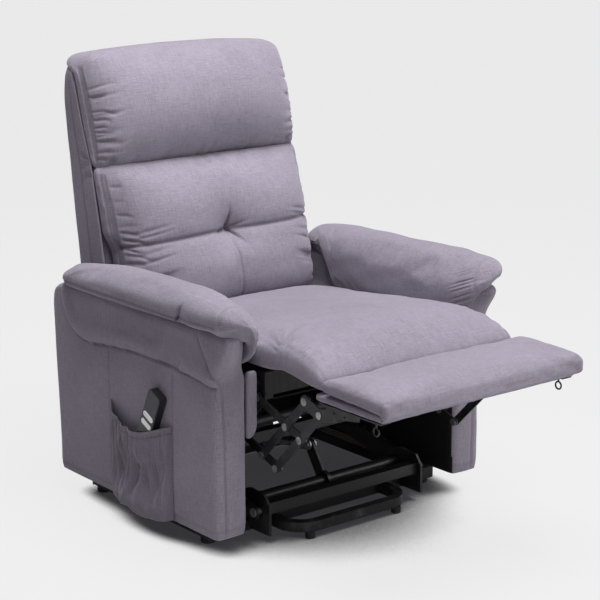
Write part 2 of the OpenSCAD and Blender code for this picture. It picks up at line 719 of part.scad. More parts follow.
// The same placing for a point
function on_back(point) = recline_pivot
  + point[0] * [cos(back_lean), -sin(back_lean)]
  + point[1] * [sin(back_lean), cos(back_lean)];
post_outline = [[8, 46], [10, 214], [18, 355], [24, 427], [41, 513], [56, 609], [60, 636],
  [88, 636], [89, 560], [84, 300], [72, 46]];
back_rail_outlines = [
  [[10.5, 60], [11, 110], [33, 110], [32, 60]],
  [[26, 400], [34, 470], [54, 470], [48, 400]],
  [[55, 590], [60, 636], [84, 636], [80, 590]]];
module back_frame() color(WOOD) back_at() difference() {
  union() {
    both() plate(222, 25) polygon(post_outline);
    for (outline = back_rail_outlines) plate(-223, 446) polygon(outline);
  }
  both() for (point = back_bolts_at) rod(point, frame_bolt_r + fit, 225, 250);
}
module back_webbing() color(WEB_GREY) back_at() for (z = [150:60:330]) {
  y = 5 + 0.033 * (z - 150);   // follows the lean of the posts
  plate(-240, 480) polygon([[y, z], [y, z + 38], [y + 1.6, z + 38], [y + 1.6, z]]);
}
shell_outline = [[-4, 42], [0, 214], [9, 355], [15, 427], [30, 513], [45, 609], [50, 648],
  [60, 664], [78, 664], [94, 648], [104, 600], [114, 480], [119, 300], [113, 42]];
shell_hollow = [[-60, 30], [-60, 640], [58, 640], [60, 658], [76, 658], [89, 645],
  [99, 598], [109, 479], [114, 300], [108, 30]];
module back_shell() color(FABRIC) back_at() difference() {
  plate(-back_half, 2 * back_half) polygon(shell_outline);
  plate(-back_half + 5, 2 * back_half - 10) polygon(shell_hollow);
}
module recline_brackets() color(STEEL) both() difference() {
  plate(leg_link_x, link_t) {
    strip(recline_pivot, on_back([44, 60]), 36);
    strip(on_back([44, 60]), on_back([44, 205]), 32);
  }
  plate_hole(recline_pivot, recline_pin_r + fit, leg_link_x);
  back_at() for (point = back_bolts_at) plate_hole(point, frame_bolt_r + 0.3, leg_link_x);
}
module back_bolts() color(ZINC) back_at() both()
  for (point = back_bolts_at) frame_bolt(point, 226, leg_link_out + 0.2, 3.3);
lumbar_outline = [[-8, 84], [-98, 84], [-113, 100], [-120, 160], [-118, 230], [-104, 300],
  [-80, 360], [-50, 400], [-24, 416], [8, 420], [3, 355], [-4, 214]];
module lumbar_cushion() color(FABRIC) back_at()
  plate(-lumbar_half, 2 * lumbar_half) polygon(lumbar_outline);
headrest_outline = [[10, 428], [-24, 424], [-42, 432], [-54, 470], [-58, 530], [-54, 590],
  [-40, 645], [-16, 680], [16, 694], [44, 691], [46, 652], [41, 609], [26, 513], [13, 440]];
module headrest_cushion() color(FABRIC) back_at()
  plate(-back_half + 2, 2 * back_half - 4) polygon(headrest_outline);
module rear_valance() color(FABRIC) box([-arm_in + 2, 286, 62], [arm_in - 2, 289, 266]);

// Centres the length from the footrest's front to the back shell's rearmost edge
shell_rear = max([for (point = shell_outline) on_back(point)[0]]);
translate([0, -(footrest_front + shell_rear) / 2, 0]) {
base_frame();
anti_tip_loop();
base_rail_caps();
base_feet();
base_pivot_pins();
lift_motor();
lift_actuator_tube();
lift_push_rod();
lift_shaft_and_arms();
front_lift_links();
chassis_frame();
chassis_pivot_pins();
drive_tube();
rear_leg_links();
front_leg_links();
inner_leg_couplers();
outer_leg_couplers();
inner_coupler_rivets();
outer_coupler_rivets();
footrest_brackets();
footrest_rivets();
footrest_hooks();
footrest_board();
footrest_screws();
footrest_cushion();
chaise_pad();
leg_motor();
leg_actuator_tube();
leg_push_rod();
power_supply();
control_box();
motor_cables();
seat_frame();
seat_springs();
seat_spring_clips();
seat_bolts();
dust_cover();
seat_cushion();
left_arm_frame();
right_arm_frame();
left_arm_cover();
right_arm_cover();
left_arm_pad();
right_arm_pad();
arm_bolts();
front_wing_panels();
handset_pocket();
handset_body();
handset_button_up();
handset_button_down();
handset_cord();
back_frame();
back_webbing();
back_shell();
recline_brackets();
back_bolts();
lumbar_cushion();
headrest_cushion();
rear_valance();
}
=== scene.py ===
import bpy
import json
import math
import numpy as np
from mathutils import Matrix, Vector

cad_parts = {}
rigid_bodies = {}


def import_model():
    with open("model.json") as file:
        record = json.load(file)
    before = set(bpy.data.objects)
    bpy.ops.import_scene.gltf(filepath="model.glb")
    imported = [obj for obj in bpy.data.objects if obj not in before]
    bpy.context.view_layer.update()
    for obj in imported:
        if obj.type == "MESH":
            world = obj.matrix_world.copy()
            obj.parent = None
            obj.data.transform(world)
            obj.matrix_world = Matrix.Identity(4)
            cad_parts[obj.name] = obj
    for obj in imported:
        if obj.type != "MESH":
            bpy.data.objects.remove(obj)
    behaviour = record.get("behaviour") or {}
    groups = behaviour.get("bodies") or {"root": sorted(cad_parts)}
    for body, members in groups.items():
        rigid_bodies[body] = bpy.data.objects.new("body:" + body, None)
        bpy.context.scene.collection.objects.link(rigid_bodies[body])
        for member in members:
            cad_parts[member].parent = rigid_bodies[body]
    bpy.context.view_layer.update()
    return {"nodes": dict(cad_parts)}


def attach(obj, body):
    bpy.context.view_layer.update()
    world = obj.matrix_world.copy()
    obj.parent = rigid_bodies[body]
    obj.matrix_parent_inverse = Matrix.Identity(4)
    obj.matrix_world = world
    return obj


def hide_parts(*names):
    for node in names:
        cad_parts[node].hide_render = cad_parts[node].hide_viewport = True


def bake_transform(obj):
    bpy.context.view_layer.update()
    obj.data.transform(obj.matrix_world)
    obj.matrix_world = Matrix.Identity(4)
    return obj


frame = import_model()
NODES = frame["nodes"]
scene = bpy.context.scene

# ---------------------------------------------------------------- mesh tools


def soft_box(size, r, h):
    """Lattice points and quads on a box surface whose edges are rounded by r (per axis)."""
    size = np.array(size, float)
    r = np.array(r if hasattr(r, "__len__") else [r] * 3, float)
    n = np.maximum(4, np.round(size / np.array(h if hasattr(h, "__len__") else [h] * 3))).astype(int)
    index, pts, quads = {}, [], []

    def vid(i, j, k):
        key = (i, j, k)
        if key not in index:
            index[key] = len(pts)
            pts.append(key)
        return index[key]

    for ax in range(3):
        b, c = [(1, 2), (2, 0), (0, 1)][ax]
        for side in (0, n[ax]):
            for i in range(n[b]):
                for j in range(n[c]):
                    q = []
                    for di, dj in ((0, 0), (1, 0), (1, 1), (0, 1)):
                        key = [0, 0, 0]
                        key[ax], key[b], key[c] = side, i + di, j + dj
                        q.append(vid(*key))
                    quads.append(q if side else q[::-1])
    u = np.array(pts, float) / n * 2 - 1  # -1..1 on each axis
    p = u * size / 2
    inner = np.clip(p, -(size / 2 - r), size / 2 - r)
    d = (p - inner) / r
    length = np.maximum(np.linalg.norm(d, axis=1, keepdims=True), 1e-9)
    far = np.abs(d).max(1, keepdims=True)
    q = inner + np.where(length > 1e-8, (p - inner) / length * far, 0)
    return q / (size / 2), u, quads


def loft(sections, cap_rows=6):
    """Closed sections (m, n, 3) joined into one closed surface, with fan-free quad-ring caps."""
    m, n, _ = sections.shape
    rows = [sections[i] for i in range(m)]
    first, last = sections[0], sections[-1]
    head = [first.mean(0) + (first - first.mean(0)) * s for s in np.linspace(0.12, 1, cap_rows, endpoint=False)]
    tail = [last.mean(0) + (last - last.mean(0)) * s for s in np.linspace(1, 0.12, cap_rows + 1)[1:]]
    rows = np.array(head + rows + tail)
    m = len(rows)
    quads = []
    for i in range(m - 1):
        for j in range(n):
            k = (j + 1) % n
            quads.append([i * n + j, i * n + k, (i + 1) * n + k, (i + 1) * n + j])
    quads.append(list(range(n))[::-1])
    quads.append([(m - 1) * n + j for j in range(n)])
    return rows.reshape(-1, 3), quads


def obj_from(name, co, faces):
    me = bpy.data.meshes.new(name)
    me.from_pydata([tuple(map(float, c)) for c in co], [], [list(map(int, f)) for f in faces])
    me.update()
    o = bpy.data.objects.new(name, me)
    scene.collection.objects.link(o)
    me.polygons.foreach_set("use_smooth", [True] * len(me.polygons))
    return o


def co_of(o):
    a = np.zeros(len(o.data.vertices) * 3, np.float32)
    o.data.vertices.foreach_get("co", a)
    return a.reshape(-1, 3).astype(float)


def set_co(o, co):
    o.data.vertices.foreach_set("co", np.asarray(co, np.float32).ravel())
    o.data.update()


def normals(o):
    a = np.zeros(len(o.data.vertices) * 3, np.float32)
    o.data.vertices.foreach_get("normal", a)
    return a.reshape(-1, 3).astype(float)


def put_attr(o, name, val):
    at = o.data.attributes.get(name) or o.data.attributes.new(name, "FLOAT", "POINT")
    at.data.foreach_set("value", np.asarray(val, np.float32))


def get_attr(o, name):
    a = np.zeros(len(o.data.vertices), np.float32)
    o.data.attributes[name].data.foreach_get("value", a)
    return a.astype(float)


def apply_mods(o):
    dg = bpy.context.evaluated_depsgraph_get()
    me = bpy.data.meshes.new_from_object(o.evaluated_get(dg), preserve_all_data_layers=True, depsgraph=dg)
    old = o.data
    o.modifiers.clear()
    o.data = me
    me.name = o.name
    bpy.data.meshes.remove(old)
    me.polygons.foreach_set("use_smooth", [True] * len(me.polygons))


def subdivide(o, levels=1):
    m = o.modifiers.new("sub", "SUBSURF")
    m.levels = m.render_levels = levels
    apply_mods(o)


def solidify(o, thick, offset=-1.0):
    m = o.modifiers.new("solid", "SOLIDIFY")
    m.thickness, m.offset = thick, offset
    m.use_even_offset = False
    apply_mods(o)


def wave_noise(p, freq, seed, octaves=3):
    """Smooth repeatable noise in about -1..1 from sums of sines; p is (n, k)."""
    rng = np.random.RandomState(seed)
    out, amp, total = np.zeros(len(p)), 1.0, 0.0
    for _ in range(octaves):
        for _ in range(3):
            d = rng.normal(size=p.shape[1])
            d /= np.linalg.norm(d)
            out += amp * np.sin((p @ d) * freq * rng.uniform(0.7, 1.3) * 2 * math.pi + rng.uniform(0, 6.28))
            total += amp
        freq *= 1.9
        amp *= 0.55
    return out / total * 1.6


def bump(x, w):
    return np.exp(-((x / w) ** 2))


def smooth(x, a, b):
    t = np.clip((x - a) / (b - a), 0, 1)
    return t * t * (3 - 2 * t)


def curve1(xs, ys):
    """Smooth monotone-ish interpolation through a few points."""
    xs, ys = np.array(xs, float), np.array(ys, float)
    order = np.argsort(xs)
    xs, ys = xs[order], ys[order]
    h = np.diff(xs)
    d = np.diff(ys) / h
    m = np.zeros(len(xs))
    m[0], m[-1] = d[0], d[-1]
    for i in range(1, len(xs) - 1):
        m[i] = 0 if d[i - 1] * d[i] <= 0 else 2 * d[i - 1] * d[i] / (d[i - 1] + d[i])

    def f(x):
        x = np.clip(np.asarray(x, float), xs[0], xs[-1])
        i = np.clip(np.searchsorted(xs, x) - 1, 0, len(h) - 1)
        t = (x - xs[i]) / h[i]
        return (
            ys[i] * (1 + 2 * t) * (1 - t) ** 2
            + h[i] * m[i] * t * (1 - t) ** 2
            + ys[i + 1] * t * t * (3 - 2 * t)
            + h[i] * m[i + 1] * t * t * (t - 1)
        )

    return f


def seg_dist(p, line):
    """Distance from 2D points p (n,2) to a polyline."""
    best = np.full(len(p), 1e9)
    line = np.array(line, float)
    for a, b in zip(line[:-1], line[1:]):
        ab = b - a
        t = np.clip(((p - a) @ ab) / (ab @ ab + 1e-12), 0, 1)
        best = np.minimum(best, np.linalg.norm(p - (a + t[:, None] * ab), axis=1))
    return best


def smooth_line(pts, n=60):
    """A rounded line through 2D or 3D points (Catmull-Rom)."""
    p = np.array(pts, float)
    p = np.vstack([2 * p[0] - p[1], p, 2 * p[-1] - p[-2]])
    out = []
    segs = len(p) - 3
    for i in range(segs):
        a, b, c, d = p[i : i + 4]
        for t in np.linspace(0, 1, max(3, n // segs), endpoint=(i == segs - 1)):
            out.append(0.5 * (2 * b + (c - a) * t + (2 * a - 5 * b + 4 * c - d) * t * t + (3 * b - a - 3 * c + d) * t**3))
    return np.array(out)


def cloth(o, pins, pressure=4.0, cap=0.02, frames=20, swell=-0.02, bend=0.4, stiff=14):
    """Blows the padded form up under a sewn cover, with the sewn lines pinned."""
    rest = co_of(o)
    vg = o.vertex_groups.new(name="pin")
    for level in (1.0, 0.75, 0.5, 0.25):
        ids = np.nonzero((pins > level - 0.125) & (pins <= level + 0.125))[0]
        if len(ids):
            vg.add([int(i) for i in ids], level, "REPLACE")
    m = o.modifiers.new("Cloth", "CLOTH")
    s = m.settings
    s.quality = 5
    s.mass = 0.2
    s.tension_stiffness = s.compression_stiffness = stiff
    s.shear_stiffness = 6
    s.bending_stiffness = bend
    s.use_pressure = True
    s.uniform_pressure_force = pressure
    s.shrink_min = swell
    s.vertex_group_mass = "pin"
    s.effector_weights.gravity = 0
    m.collision_settings.use_collision = False
    m.collision_settings.use_self_collision = False
    m.point_cache.frame_start, m.point_cache.frame_end = 1, frames
    others = [x for x in scene.objects if x is not o and not x.hide_viewport]
    for x in others:
        x.hide_viewport = True
    for f in range(1, frames + 1):
        scene.frame_set(f)
    dg = bpy.context.evaluated_depsgraph_get()
    me = o.evaluated_get(dg).data
    a = np.zeros(len(me.vertices) * 3, np.float32)
    me.vertices.foreach_get("co", a)
    new = a.reshape(-1, 3).astype(float)
    o.modifiers.clear()
    o.vertex_groups.clear()
    scene.frame_set(1)
    for x in others:
        x.hide_viewport = False
    d = new - rest
    length = np.maximum(np.linalg.norm(d, axis=1, keepdims=True), 1e-9)
    d = d / length * (cap * np.tanh(length / cap))
    set_co(o, rest + d)


def relax(o, w, n=10):
    """Evens out the surface where w is above zero."""
    me = o.data
    e = np.zeros(len(me.edges) * 2, np.int32)
    me.edges.foreach_get("vertices", e)
    e = e.reshape(-1, 2)
    co = co_of(o)
    count = np.bincount(e.ravel(), minlength=len(co))
    for _ in range(n):
        mean = np.stack([np.bincount(e[:, 0], co[e[:, 1], i], len(co)) + np.bincount(e[:, 1], co[e[:, 0], i], len(co)) for i in range(3)], 1) / count[:, None]
        co = co + 0.5 * w[:, None] * (mean - co)
    set_co(o, co)


def box_uv(o):
    """Metre-scale UVs laid on by the direction each face looks, so a weave has one scale everywhere."""
    me = o.data
    co = co_of(o)
    nl = len(me.loops)
    vi = np.zeros(nl, np.int32)
    me.loops.foreach_get("vertex_index", vi)
    pn = np.zeros(len(me.polygons) * 3, np.float32)
    me.polygons.foreach_get("normal", pn)
    pn = np.abs(pn.reshape(-1, 3))
    ls = np.zeros(len(me.polygons), np.int32)
    lt = np.zeros(len(me.polygons), np.int32)
    me.polygons.foreach_get("loop_start", ls)
    me.polygons.foreach_get("loop_total", lt)
    ax = np.repeat(pn.argmax(1), lt)
    order = np.repeat(ls, lt) + (np.arange(lt.sum()) - np.repeat(np.cumsum(lt) - lt, lt))
    uv = np.zeros((nl, 2), np.float32)
    p = co[vi[order]]
    uv[order, 0] = np.where(ax == 0, p[:, 1], p[:, 0])
    uv[order, 1] = np.where(ax == 2, p[:, 1], p[:, 2])
    layer = me.uv_layers.get("weave") or me.uv_layers.new(name="weave")
    layer.data.foreach_set("uv", uv.ravel())


# Stores a mask of painted shade for the fabric material, which darkens its colour there: in seams, creases, folds,
# gaps and under overhangs.
def put_painted_shade(o, val):
    put_attr(o, "painted_shade", np.clip(val, 0, 1))


# ---------------------------------------------------------------- materials


class Nodes:
    def __init__(self, name):
        self.m = bpy.data.materials.new(name)
        self.m.use_nodes = True
        self.t = self.m.node_tree
        self.t.nodes.clear()
        self.out = self.t.nodes.new("ShaderNodeOutputMaterial")
        self.b = self.t.nodes.new("ShaderNodeBsdfPrincipled")
        self.t.links.new(self.b.outputs[0], self.out.inputs[0])

    def new(self, kind, **kw):
        n = self.t.nodes.new(kind)
        for k, v in kw.items():
            setattr(n, k, v)
        return n

    def link(self, a, b):
        self.t.links.new(a, b)

    def math(self, op, a, b=None, c=None, clamp=False):
        n = self.new("ShaderNodeMath", operation=op, use_clamp=clamp)
        for i, v in enumerate((a, b, c)):
            if v is None:
                continue
            if isinstance(v, (int, float)):
                n.inputs[i].default_value = v
            else:
                self.link(v, n.inputs[i])
        return n.outputs[0]

    def mix(self, fac, a, b, blend="MIX"):
        n = self.new("ShaderNodeMix", data_type="RGBA", blend_type=blend)
        for sock, v in ((n.inputs[0], fac), (n.inputs[6], a), (n.inputs[7], b)):
            if isinstance(v, (int, float)):
                sock.default_value = v
            elif isinstance(v, tuple):
                sock.default_value = (*v, 1)
            else:
                self.link(v, sock)
        return n.outputs[2]

    def noise(self, vec, scale, detail=2.0, rough=0.5):
        n = self.new("ShaderNodeTexNoise")
        n.inputs["Scale"].default_value = scale
        n.inputs["Detail"].default_value = detail
        n.inputs["Roughness"].default_value = rough
        if vec is not None:
            self.link(vec, n.inputs["Vector"])
        return n.outputs[0]

    def stretch(self, vec, sx, sy, sz=1.0):
        n = self.new("ShaderNodeMapping")
        n.inputs["Scale"].default_value = (sx, sy, sz)
        self.link(vec, n.inputs["Vector"])
        return n.outputs[0]

    def bump(self, height, strength, dist, normal=None):
        n = self.new("ShaderNodeBump")
        n.inputs["Strength"].default_value = strength
        n.inputs["Distance"].default_value = dist
        self.link(height, n.inputs["Height"])
        if normal is not None:
            self.link(normal, n.inputs["Normal"])
        return n.outputs[0]


def fabric(name, dark, light, thread=0.0011, sheen=0.35):
    """Linen-look upholstery: crossing threads with slubs, heathered at random between a shaded and a lit colour of
    the cloth, so painted light and shade.
    """
    k = Nodes(name)
    uv = k.new("ShaderNodeUVMap", uv_map="weave").outputs[0]
    xyz = k.new("ShaderNodeTexCoord").outputs["Object"]
    sep = k.new("ShaderNodeSeparateXYZ")
    k.link(uv, sep.inputs[0])
    wob = k.noise(k.stretch(uv, 60, 60), 1.0, 2)
    u = k.math("ADD", k.math("MULTIPLY", sep.outputs[0], 2 * math.pi / thread), k.math("MULTIPLY", wob, 2.4))
    v = k.math("ADD", k.math("MULTIPLY", sep.outputs[1], 2 * math.pi / thread), k.math("MULTIPLY", wob, 2.4))
    su = k.math("ABSOLUTE", k.math("SINE", k.math("MULTIPLY", u, 0.5)))
    sv = k.math("ABSOLUTE", k.math("SINE", k.math("MULTIPLY", v, 0.5)))
    over = k.math("MULTIPLY", k.math("SINE", u), k.math("SINE", v))
    sel = k.math("ADD", k.math("MULTIPLY", over, 0.5), 0.5)
    weave = k.math("ADD", k.math("MULTIPLY", su, sel), k.math("MULTIPLY", sv, k.math("SUBTRACT", 1.0, sel)))
    # slubs: long streaks along each thread direction
    slub_u = k.noise(k.stretch(uv, 45, 900), 1.0, 3, 0.6)
    slub_v = k.noise(k.stretch(uv, 900, 45), 1.0, 3, 0.6)
    slub_w = k.noise(k.stretch(uv, 14, 420), 1.0, 2, 0.6)
    slub_z = k.noise(k.stretch(uv, 420, 14), 1.0, 2, 0.6)
    wide = k.math("MULTIPLY", k.math("ADD", slub_w, slub_z), 0.12)
    slub = k.math("ADD", k.math("MULTIPLY", k.math("ADD", slub_u, slub_v), 0.38), wide)
    cloud = k.noise(k.stretch(xyz, 5.5, 5.5, 5.5), 1.0, 3, 0.55)
    tone = k.math("ADD", k.math("MULTIPLY", k.math("SUBTRACT", slub, 0.5), 2.9), 0.5)
    tone = k.math("ADD", tone, k.math("MULTIPLY", k.math("SUBTRACT", weave, 0.6), 0.35))
    tone = k.math("ADD", tone, k.math("MULTIPLY", k.math("SUBTRACT", cloud, 0.5), 0.5), clamp=True)
    # painted light and shade: the heather runs between the cloth's shaded and lit colours
    col = k.mix(tone, dark, light)
    # painted shade: the stored mask darkens the colour towards a deep shade colour
    painted_shade = k.new("ShaderNodeAttribute", attribute_name="painted_shade", attribute_type="GEOMETRY").outputs["Fac"]
    col = k.mix(k.math("MULTIPLY", painted_shade, 0.55), col, tuple(c * 0.35 for c in dark))
    # handled edges are a little paler
    geo = k.new("ShaderNodeNewGeometry").outputs["Pointiness"]
    worn = k.math("MULTIPLY", k.math("SUBTRACT", geo, 0.51), 3.0, clamp=True)
    col = k.mix(k.math("MULTIPLY", worn, 0.35), col, tuple(min(1, c * 1.35) for c in light))
    k.link(col, k.b.inputs["Base Color"])
    rough = k.math("ADD", 0.82, k.math("MULTIPLY", slub, 0.16))
    k.link(rough, k.b.inputs["Roughness"])
    k.b.inputs["Specular IOR Level"].default_value = 0.22
    k.b.inputs["Sheen Weight"].default_value = sheen
    k.b.inputs["Sheen Roughness"].default_value = 0.45
    k.b.inputs["Sheen Tint"].default_value = (0.86, 0.82, 0.95, 1)
    crumple = k.noise(k.stretch(xyz, 16, 16, 16), 1.0, 4, 0.6)
    n1 = k.bump(crumple, 0.28, 0.006)
    n2 = k.bump(slub, 0.5, 0.0012, n1)
    n3 = k.bump(weave, 0.45, 0.0005, n2)
    k.link(n3, k.b.inputs["Normal"])
    return k.m


def plain_cloth(name, colour, thread=0.0016):
    """Black non-woven lining: fine fibres and a faint dimple grid."""
    k = Nodes(name)
    xyz = k.new("ShaderNodeTexCoord").outputs["Object"]
    vor = k.new("ShaderNodeTexVoronoi")
    vor.inputs["Scale"].default_value = 1 / thread
    k.link(xyz, vor.inputs["Vector"])
    fib = k.noise(k.stretch(xyz, 700, 700, 700), 1.0, 4, 0.7)
    cloud = k.noise(k.stretch(xyz, 7, 7, 7), 1.0, 3)
    tone = k.math("ADD", k.math("MULTIPLY", fib, 0.6), k.math("MULTIPLY", cloud, 0.5), clamp=True)
    k.link(k.mix(tone, tuple(c * 0.5 for c in colour), tuple(c * 1.6 for c in colour)), k.b.inputs["Base Color"])
    k.b.inputs["Roughness"].default_value = 0.92
    k.b.inputs["Specular IOR Level"].default_value = 0.15
    n1 = k.bump(cloud, 0.3, 0.006)
    k.link(k.bump(vor.outputs["Distance"], 0.25, 0.0006, n1), k.b.inputs["Normal"])
    return k.m


def coated_steel(name, colour, rough=0.42, metal=0.0, wear=(0.11, 0.11, 0.115)):
    """Powder coat over steel: orange-peel, handling marks, bare metal showing on edges, dust on top."""
    k = Nodes(name)
    xyz = k.new("ShaderNodeTexCoord").outputs["Object"]
    peel = k.noise(k.stretch(xyz, 900, 900, 900), 1.0, 2, 0.5)
    scuff = k.noise(k.stretch(xyz, 30, 30, 30), 1.0, 5, 0.65)
    fine = k.noise(k.stretch(xyz, 260, 40, 260), 1.0, 3, 0.6)
    geo = k.new("ShaderNodeNewGeometry")
    edge = k.math("MULTIPLY", k.math("SUBTRACT", geo.outputs["Pointiness"], 0.56), 7.0, clamp=True)
    edge = k.math("MULTIPLY", edge, k.math("MULTIPLY", k.math("SUBTRACT", scuff, 0.50), 5.0, clamp=True))
    sepn = k.new("ShaderNodeSeparateXYZ")
    k.link(geo.outputs["Normal"], sepn.inputs[0])
    dust = k.math("MULTIPLY", k.math("SUBTRACT", sepn.outputs[2], 0.35), 0.025, clamp=True)
    dust = k.math("MULTIPLY", dust, k.math("ADD", scuff, 0.2))
    col = k.mix(scuff, tuple(c * 0.85 for c in colour), tuple(min(1, c * 1.2 + 0.002) for c in colour))
    col = k.mix(dust, col, (0.30, 0.29, 0.28))
    col = k.mix(edge, col, wear)
    k.link(col, k.b.inputs["Base Color"])
    k.link(k.math("ADD", k.math("MULTIPLY", edge, 0.5), metal, clamp=True), k.b.inputs["Metallic"])
    k.link(k.math("ADD", rough - 0.08, k.math("MULTIPLY", fine, 0.2)), k.b.inputs["Roughness"])
    k.b.inputs["Coat Weight"].default_value = 0.12
    k.b.inputs["Coat Roughness"].default_value = 0.25
    n1 = k.bump(scuff, 0.06, 0.002)
    k.link(k.bump(peel, 0.14, 0.0006, n1), k.b.inputs["Normal"])
    return k.m


def zinc(name, colour=(0.52, 0.52, 0.53)):
    k = Nodes(name)
    xyz = k.new("ShaderNodeTexCoord").outputs["Object"]
    cell = k.new("ShaderNodeTexVoronoi")
    cell.inputs["Scale"].default_value = 140
    k.link(xyz, cell.inputs["Vector"])
    brush = k.noise(k.stretch(xyz, 1400, 60, 60), 1.0, 3, 0.6)
    grime = k.noise(k.stretch(xyz, 45, 45, 45), 1.0, 4, 0.65)
    col = k.mix(k.math("MULTIPLY", cell.outputs["Distance"], 0.6, clamp=True), tuple(c * 0.8 for c in colour), colour)
    col = k.mix(k.math("MULTIPLY", k.math("SUBTRACT", grime, 0.52), 4.0, clamp=True), col, (0.10, 0.09, 0.08))
    k.link(col, k.b.inputs["Base Color"])
    k.b.inputs["Metallic"].default_value = 0.9
    k.link(k.math("ADD", 0.28, k.math("MULTIPLY", brush, 0.25)), k.b.inputs["Roughness"])
    k.link(k.bump(brush, 0.12, 0.0004), k.b.inputs["Normal"])
    return k.m


def plastic(name, colour, rough=0.45, grain=1500.0, gloss=0.0):
    k = Nodes(name)
    xyz = k.new("ShaderNodeTexCoord").outputs["Object"]
    cell = k.new("ShaderNodeTexVoronoi")
    cell.inputs["Scale"].default_value = grain
    k.link(xyz, cell.inputs["Vector"])
    marks = k.noise(k.stretch(xyz, 60, 60, 60), 1.0, 5, 0.7)
    k.link(k.mix(marks, tuple(c * 0.82 for c in colour), tuple(min(1, c * 1.2) for c in colour)), k.b.inputs["Base Color"])
    k.link(k.math("ADD", rough - 0.07, k.math("MULTIPLY", marks, 0.18)), k.b.inputs["Roughness"])
    k.b.inputs["Coat Weight"].default_value = gloss
    k.link(k.bump(cell.outputs["Distance"], 0.10, 0.0004), k.b.inputs["Normal"])
    return k.m


def rubber(name, colour=(0.014, 0.014, 0.015)):
    k = Nodes(name)
    xyz = k.new("ShaderNodeTexCoord").outputs["Object"]
    fine = k.noise(k.stretch(xyz, 1200, 1200, 1200), 1.0, 2)
    dust = k.noise(k.stretch(xyz, 50, 50, 50), 1.0, 5, 0.7)
    k.link(k.mix(k.math("MULTIPLY", k.math("SUBTRACT", dust, 0.45), 1.2, clamp=True), colour, (0.07, 0.068, 0.066)), k.b.inputs["Base Color"])
    k.link(k.math("ADD", 0.62, k.math("MULTIPLY", dust, 0.25)), k.b.inputs["Roughness"])
    k.link(k.bump(fine, 0.2, 0.0004), k.b.inputs["Normal"])
    return k.m


def timber(name, a, b):
    k = Nodes(name)
    xyz = k.new("ShaderNodeTexCoord").outputs["Object"]
    grain = k.noise(k.stretch(xyz, 14, 200, 200), 1.0, 6, 0.6)
    ring = k.new("ShaderNodeTexWave", wave_type="BANDS")
    ring.inputs["Scale"].default_value = 16
    ring.inputs["Distortion"].default_value = 7
    ring.inputs["Detail"].default_value = 3
    k.link(xyz, ring.inputs["Vector"])
    tone = k.math("ADD", k.math("MULTIPLY", grain, 0.7), k.math("MULTIPLY", ring.outputs["Fac"], 0.3), clamp=True)
    k.link(k.mix(tone, a, b), k.b.inputs["Base Color"])
    k.link(k.math("ADD", 0.55, k.math("MULTIPLY", grain, 0.3)), k.b.inputs["Roughness"])
    k.link(k.bump(grain, 0.25, 0.0006), k.b.inputs["Normal"])
    return k.m


# the cloth's shaded and lit colours, which the fabric mixes at random into its heather: painted light and shade
FAB_SHADED, FAB_LIT = (0.148, 0.128, 0.162), (0.330, 0.302, 0.366)
MAT = {
    "fabric": fabric("upholstery_linen", FAB_SHADED, FAB_LIT),
    "lining": plain_cloth("black_lining", (0.014, 0.013, 0.015)),
    "steel": coated_steel("black_powder_coat", (0.0075, 0.0075, 0.009), 0.40),
    "links": coated_steel("grey_coated_links", (0.012, 0.012, 0.014), 0.38, 0.1),
    "zinc": zinc("zinc_plate"),
    "plastic": plastic("black_moulded", (0.016, 0.016, 0.017)),
    "handset": plastic("handset_shell", (0.013, 0.014, 0.019), 0.34, 1100, 0.15),
    "clip": plastic("nylon_clip", (0.62, 0.60, 0.54), 0.5),
    "button": plastic("white_button", (0.95, 0.95, 0.97), 0.3, 2200, 0.3),
    "rubber": rubber("rubber_black"),
    "wood": timber("raw_timber", (0.30, 0.19, 0.10), (0.56, 0.40, 0.23)),
    "dark_wood": timber("stained_rail", (0.012, 0.011, 0.011), (0.035, 0.031, 0.029)),
}


def paint(o, *mats):
    o.data.materials.clear()
    for m in mats:
        o.data.materials.append(MAT[m])


# ---------------------------------------------------------------- CAD nodes that stay: bevel and finish

CAD_LOOK = {
    "steel": ["base_frame", "anti_tip_loop", "chassis_frame", "lift_shaft_and_arms", "footrest_brackets", "footrest_hooks", "recline_brackets", "drive_tube"],
    "links": ["rear_leg_links", "front_leg_links", "inner_leg_couplers", "outer_leg_couplers", "front_lift_links"],
    "zinc": ["base_pivot_pins", "chassis_pivot_pins", "inner_coupler_rivets", "outer_coupler_rivets", "footrest_rivets", "footrest_screws", "seat_springs", "seat_bolts", "arm_bolts", "back_bolts", "lift_push_rod", "leg_push_rod"],
    "plastic": ["base_rail_caps", "lift_motor", "lift_actuator_tube", "leg_motor", "leg_actuator_tube", "power_supply", "control_box"],
    "handset": ["handset_body"],
    "clip": ["seat_spring_clips"],
    "button": ["handset_button_up", "handset_button_down"],
    "rubber": ["base_feet", "motor_cables"],
    "wood": ["left_arm_frame", "right_arm_frame", "back_frame"],
    "dark_wood": ["seat_frame"],
    "lining": ["dust_cover", "back_webbing"],
}
BEVEL = {"steel": 0.0012, "links": 0.0007, "zinc": 0.0006, "plastic": 0.0022, "handset": 0.0012, "clip": 0.0006, "button": 0.0005, "rubber": 0.0012, "wood": 0.0015, "dark_wood": 0.0015, "lining": 0.0004}
for look, names in CAD_LOOK.items():
    for n in names:
        o = NODES[n]
        paint(o, look)
        m = o.modifiers.new("bevel", "BEVEL")
        m.width = BEVEL[look]
        m.segments = 2
        m.limit_method = "ANGLE"
        m.angle_limit = math.radians(35)
        m.harden_normals = False

# ---------------------------------------------------------------- shared places

DY = 0.161755  # the working frame below has y = 0 at the middle of an arm; the pieces move by DY at the end
PY, PZ, LEAN = 0.205, 0.330, math.radians(8)


def back_to_row(x, y, z):
    c, s = math.cos(LEAN), math.sin(LEAN)
    return np.stack([x, PY + y * c + z * s, PZ - y * s + z * c], 1)


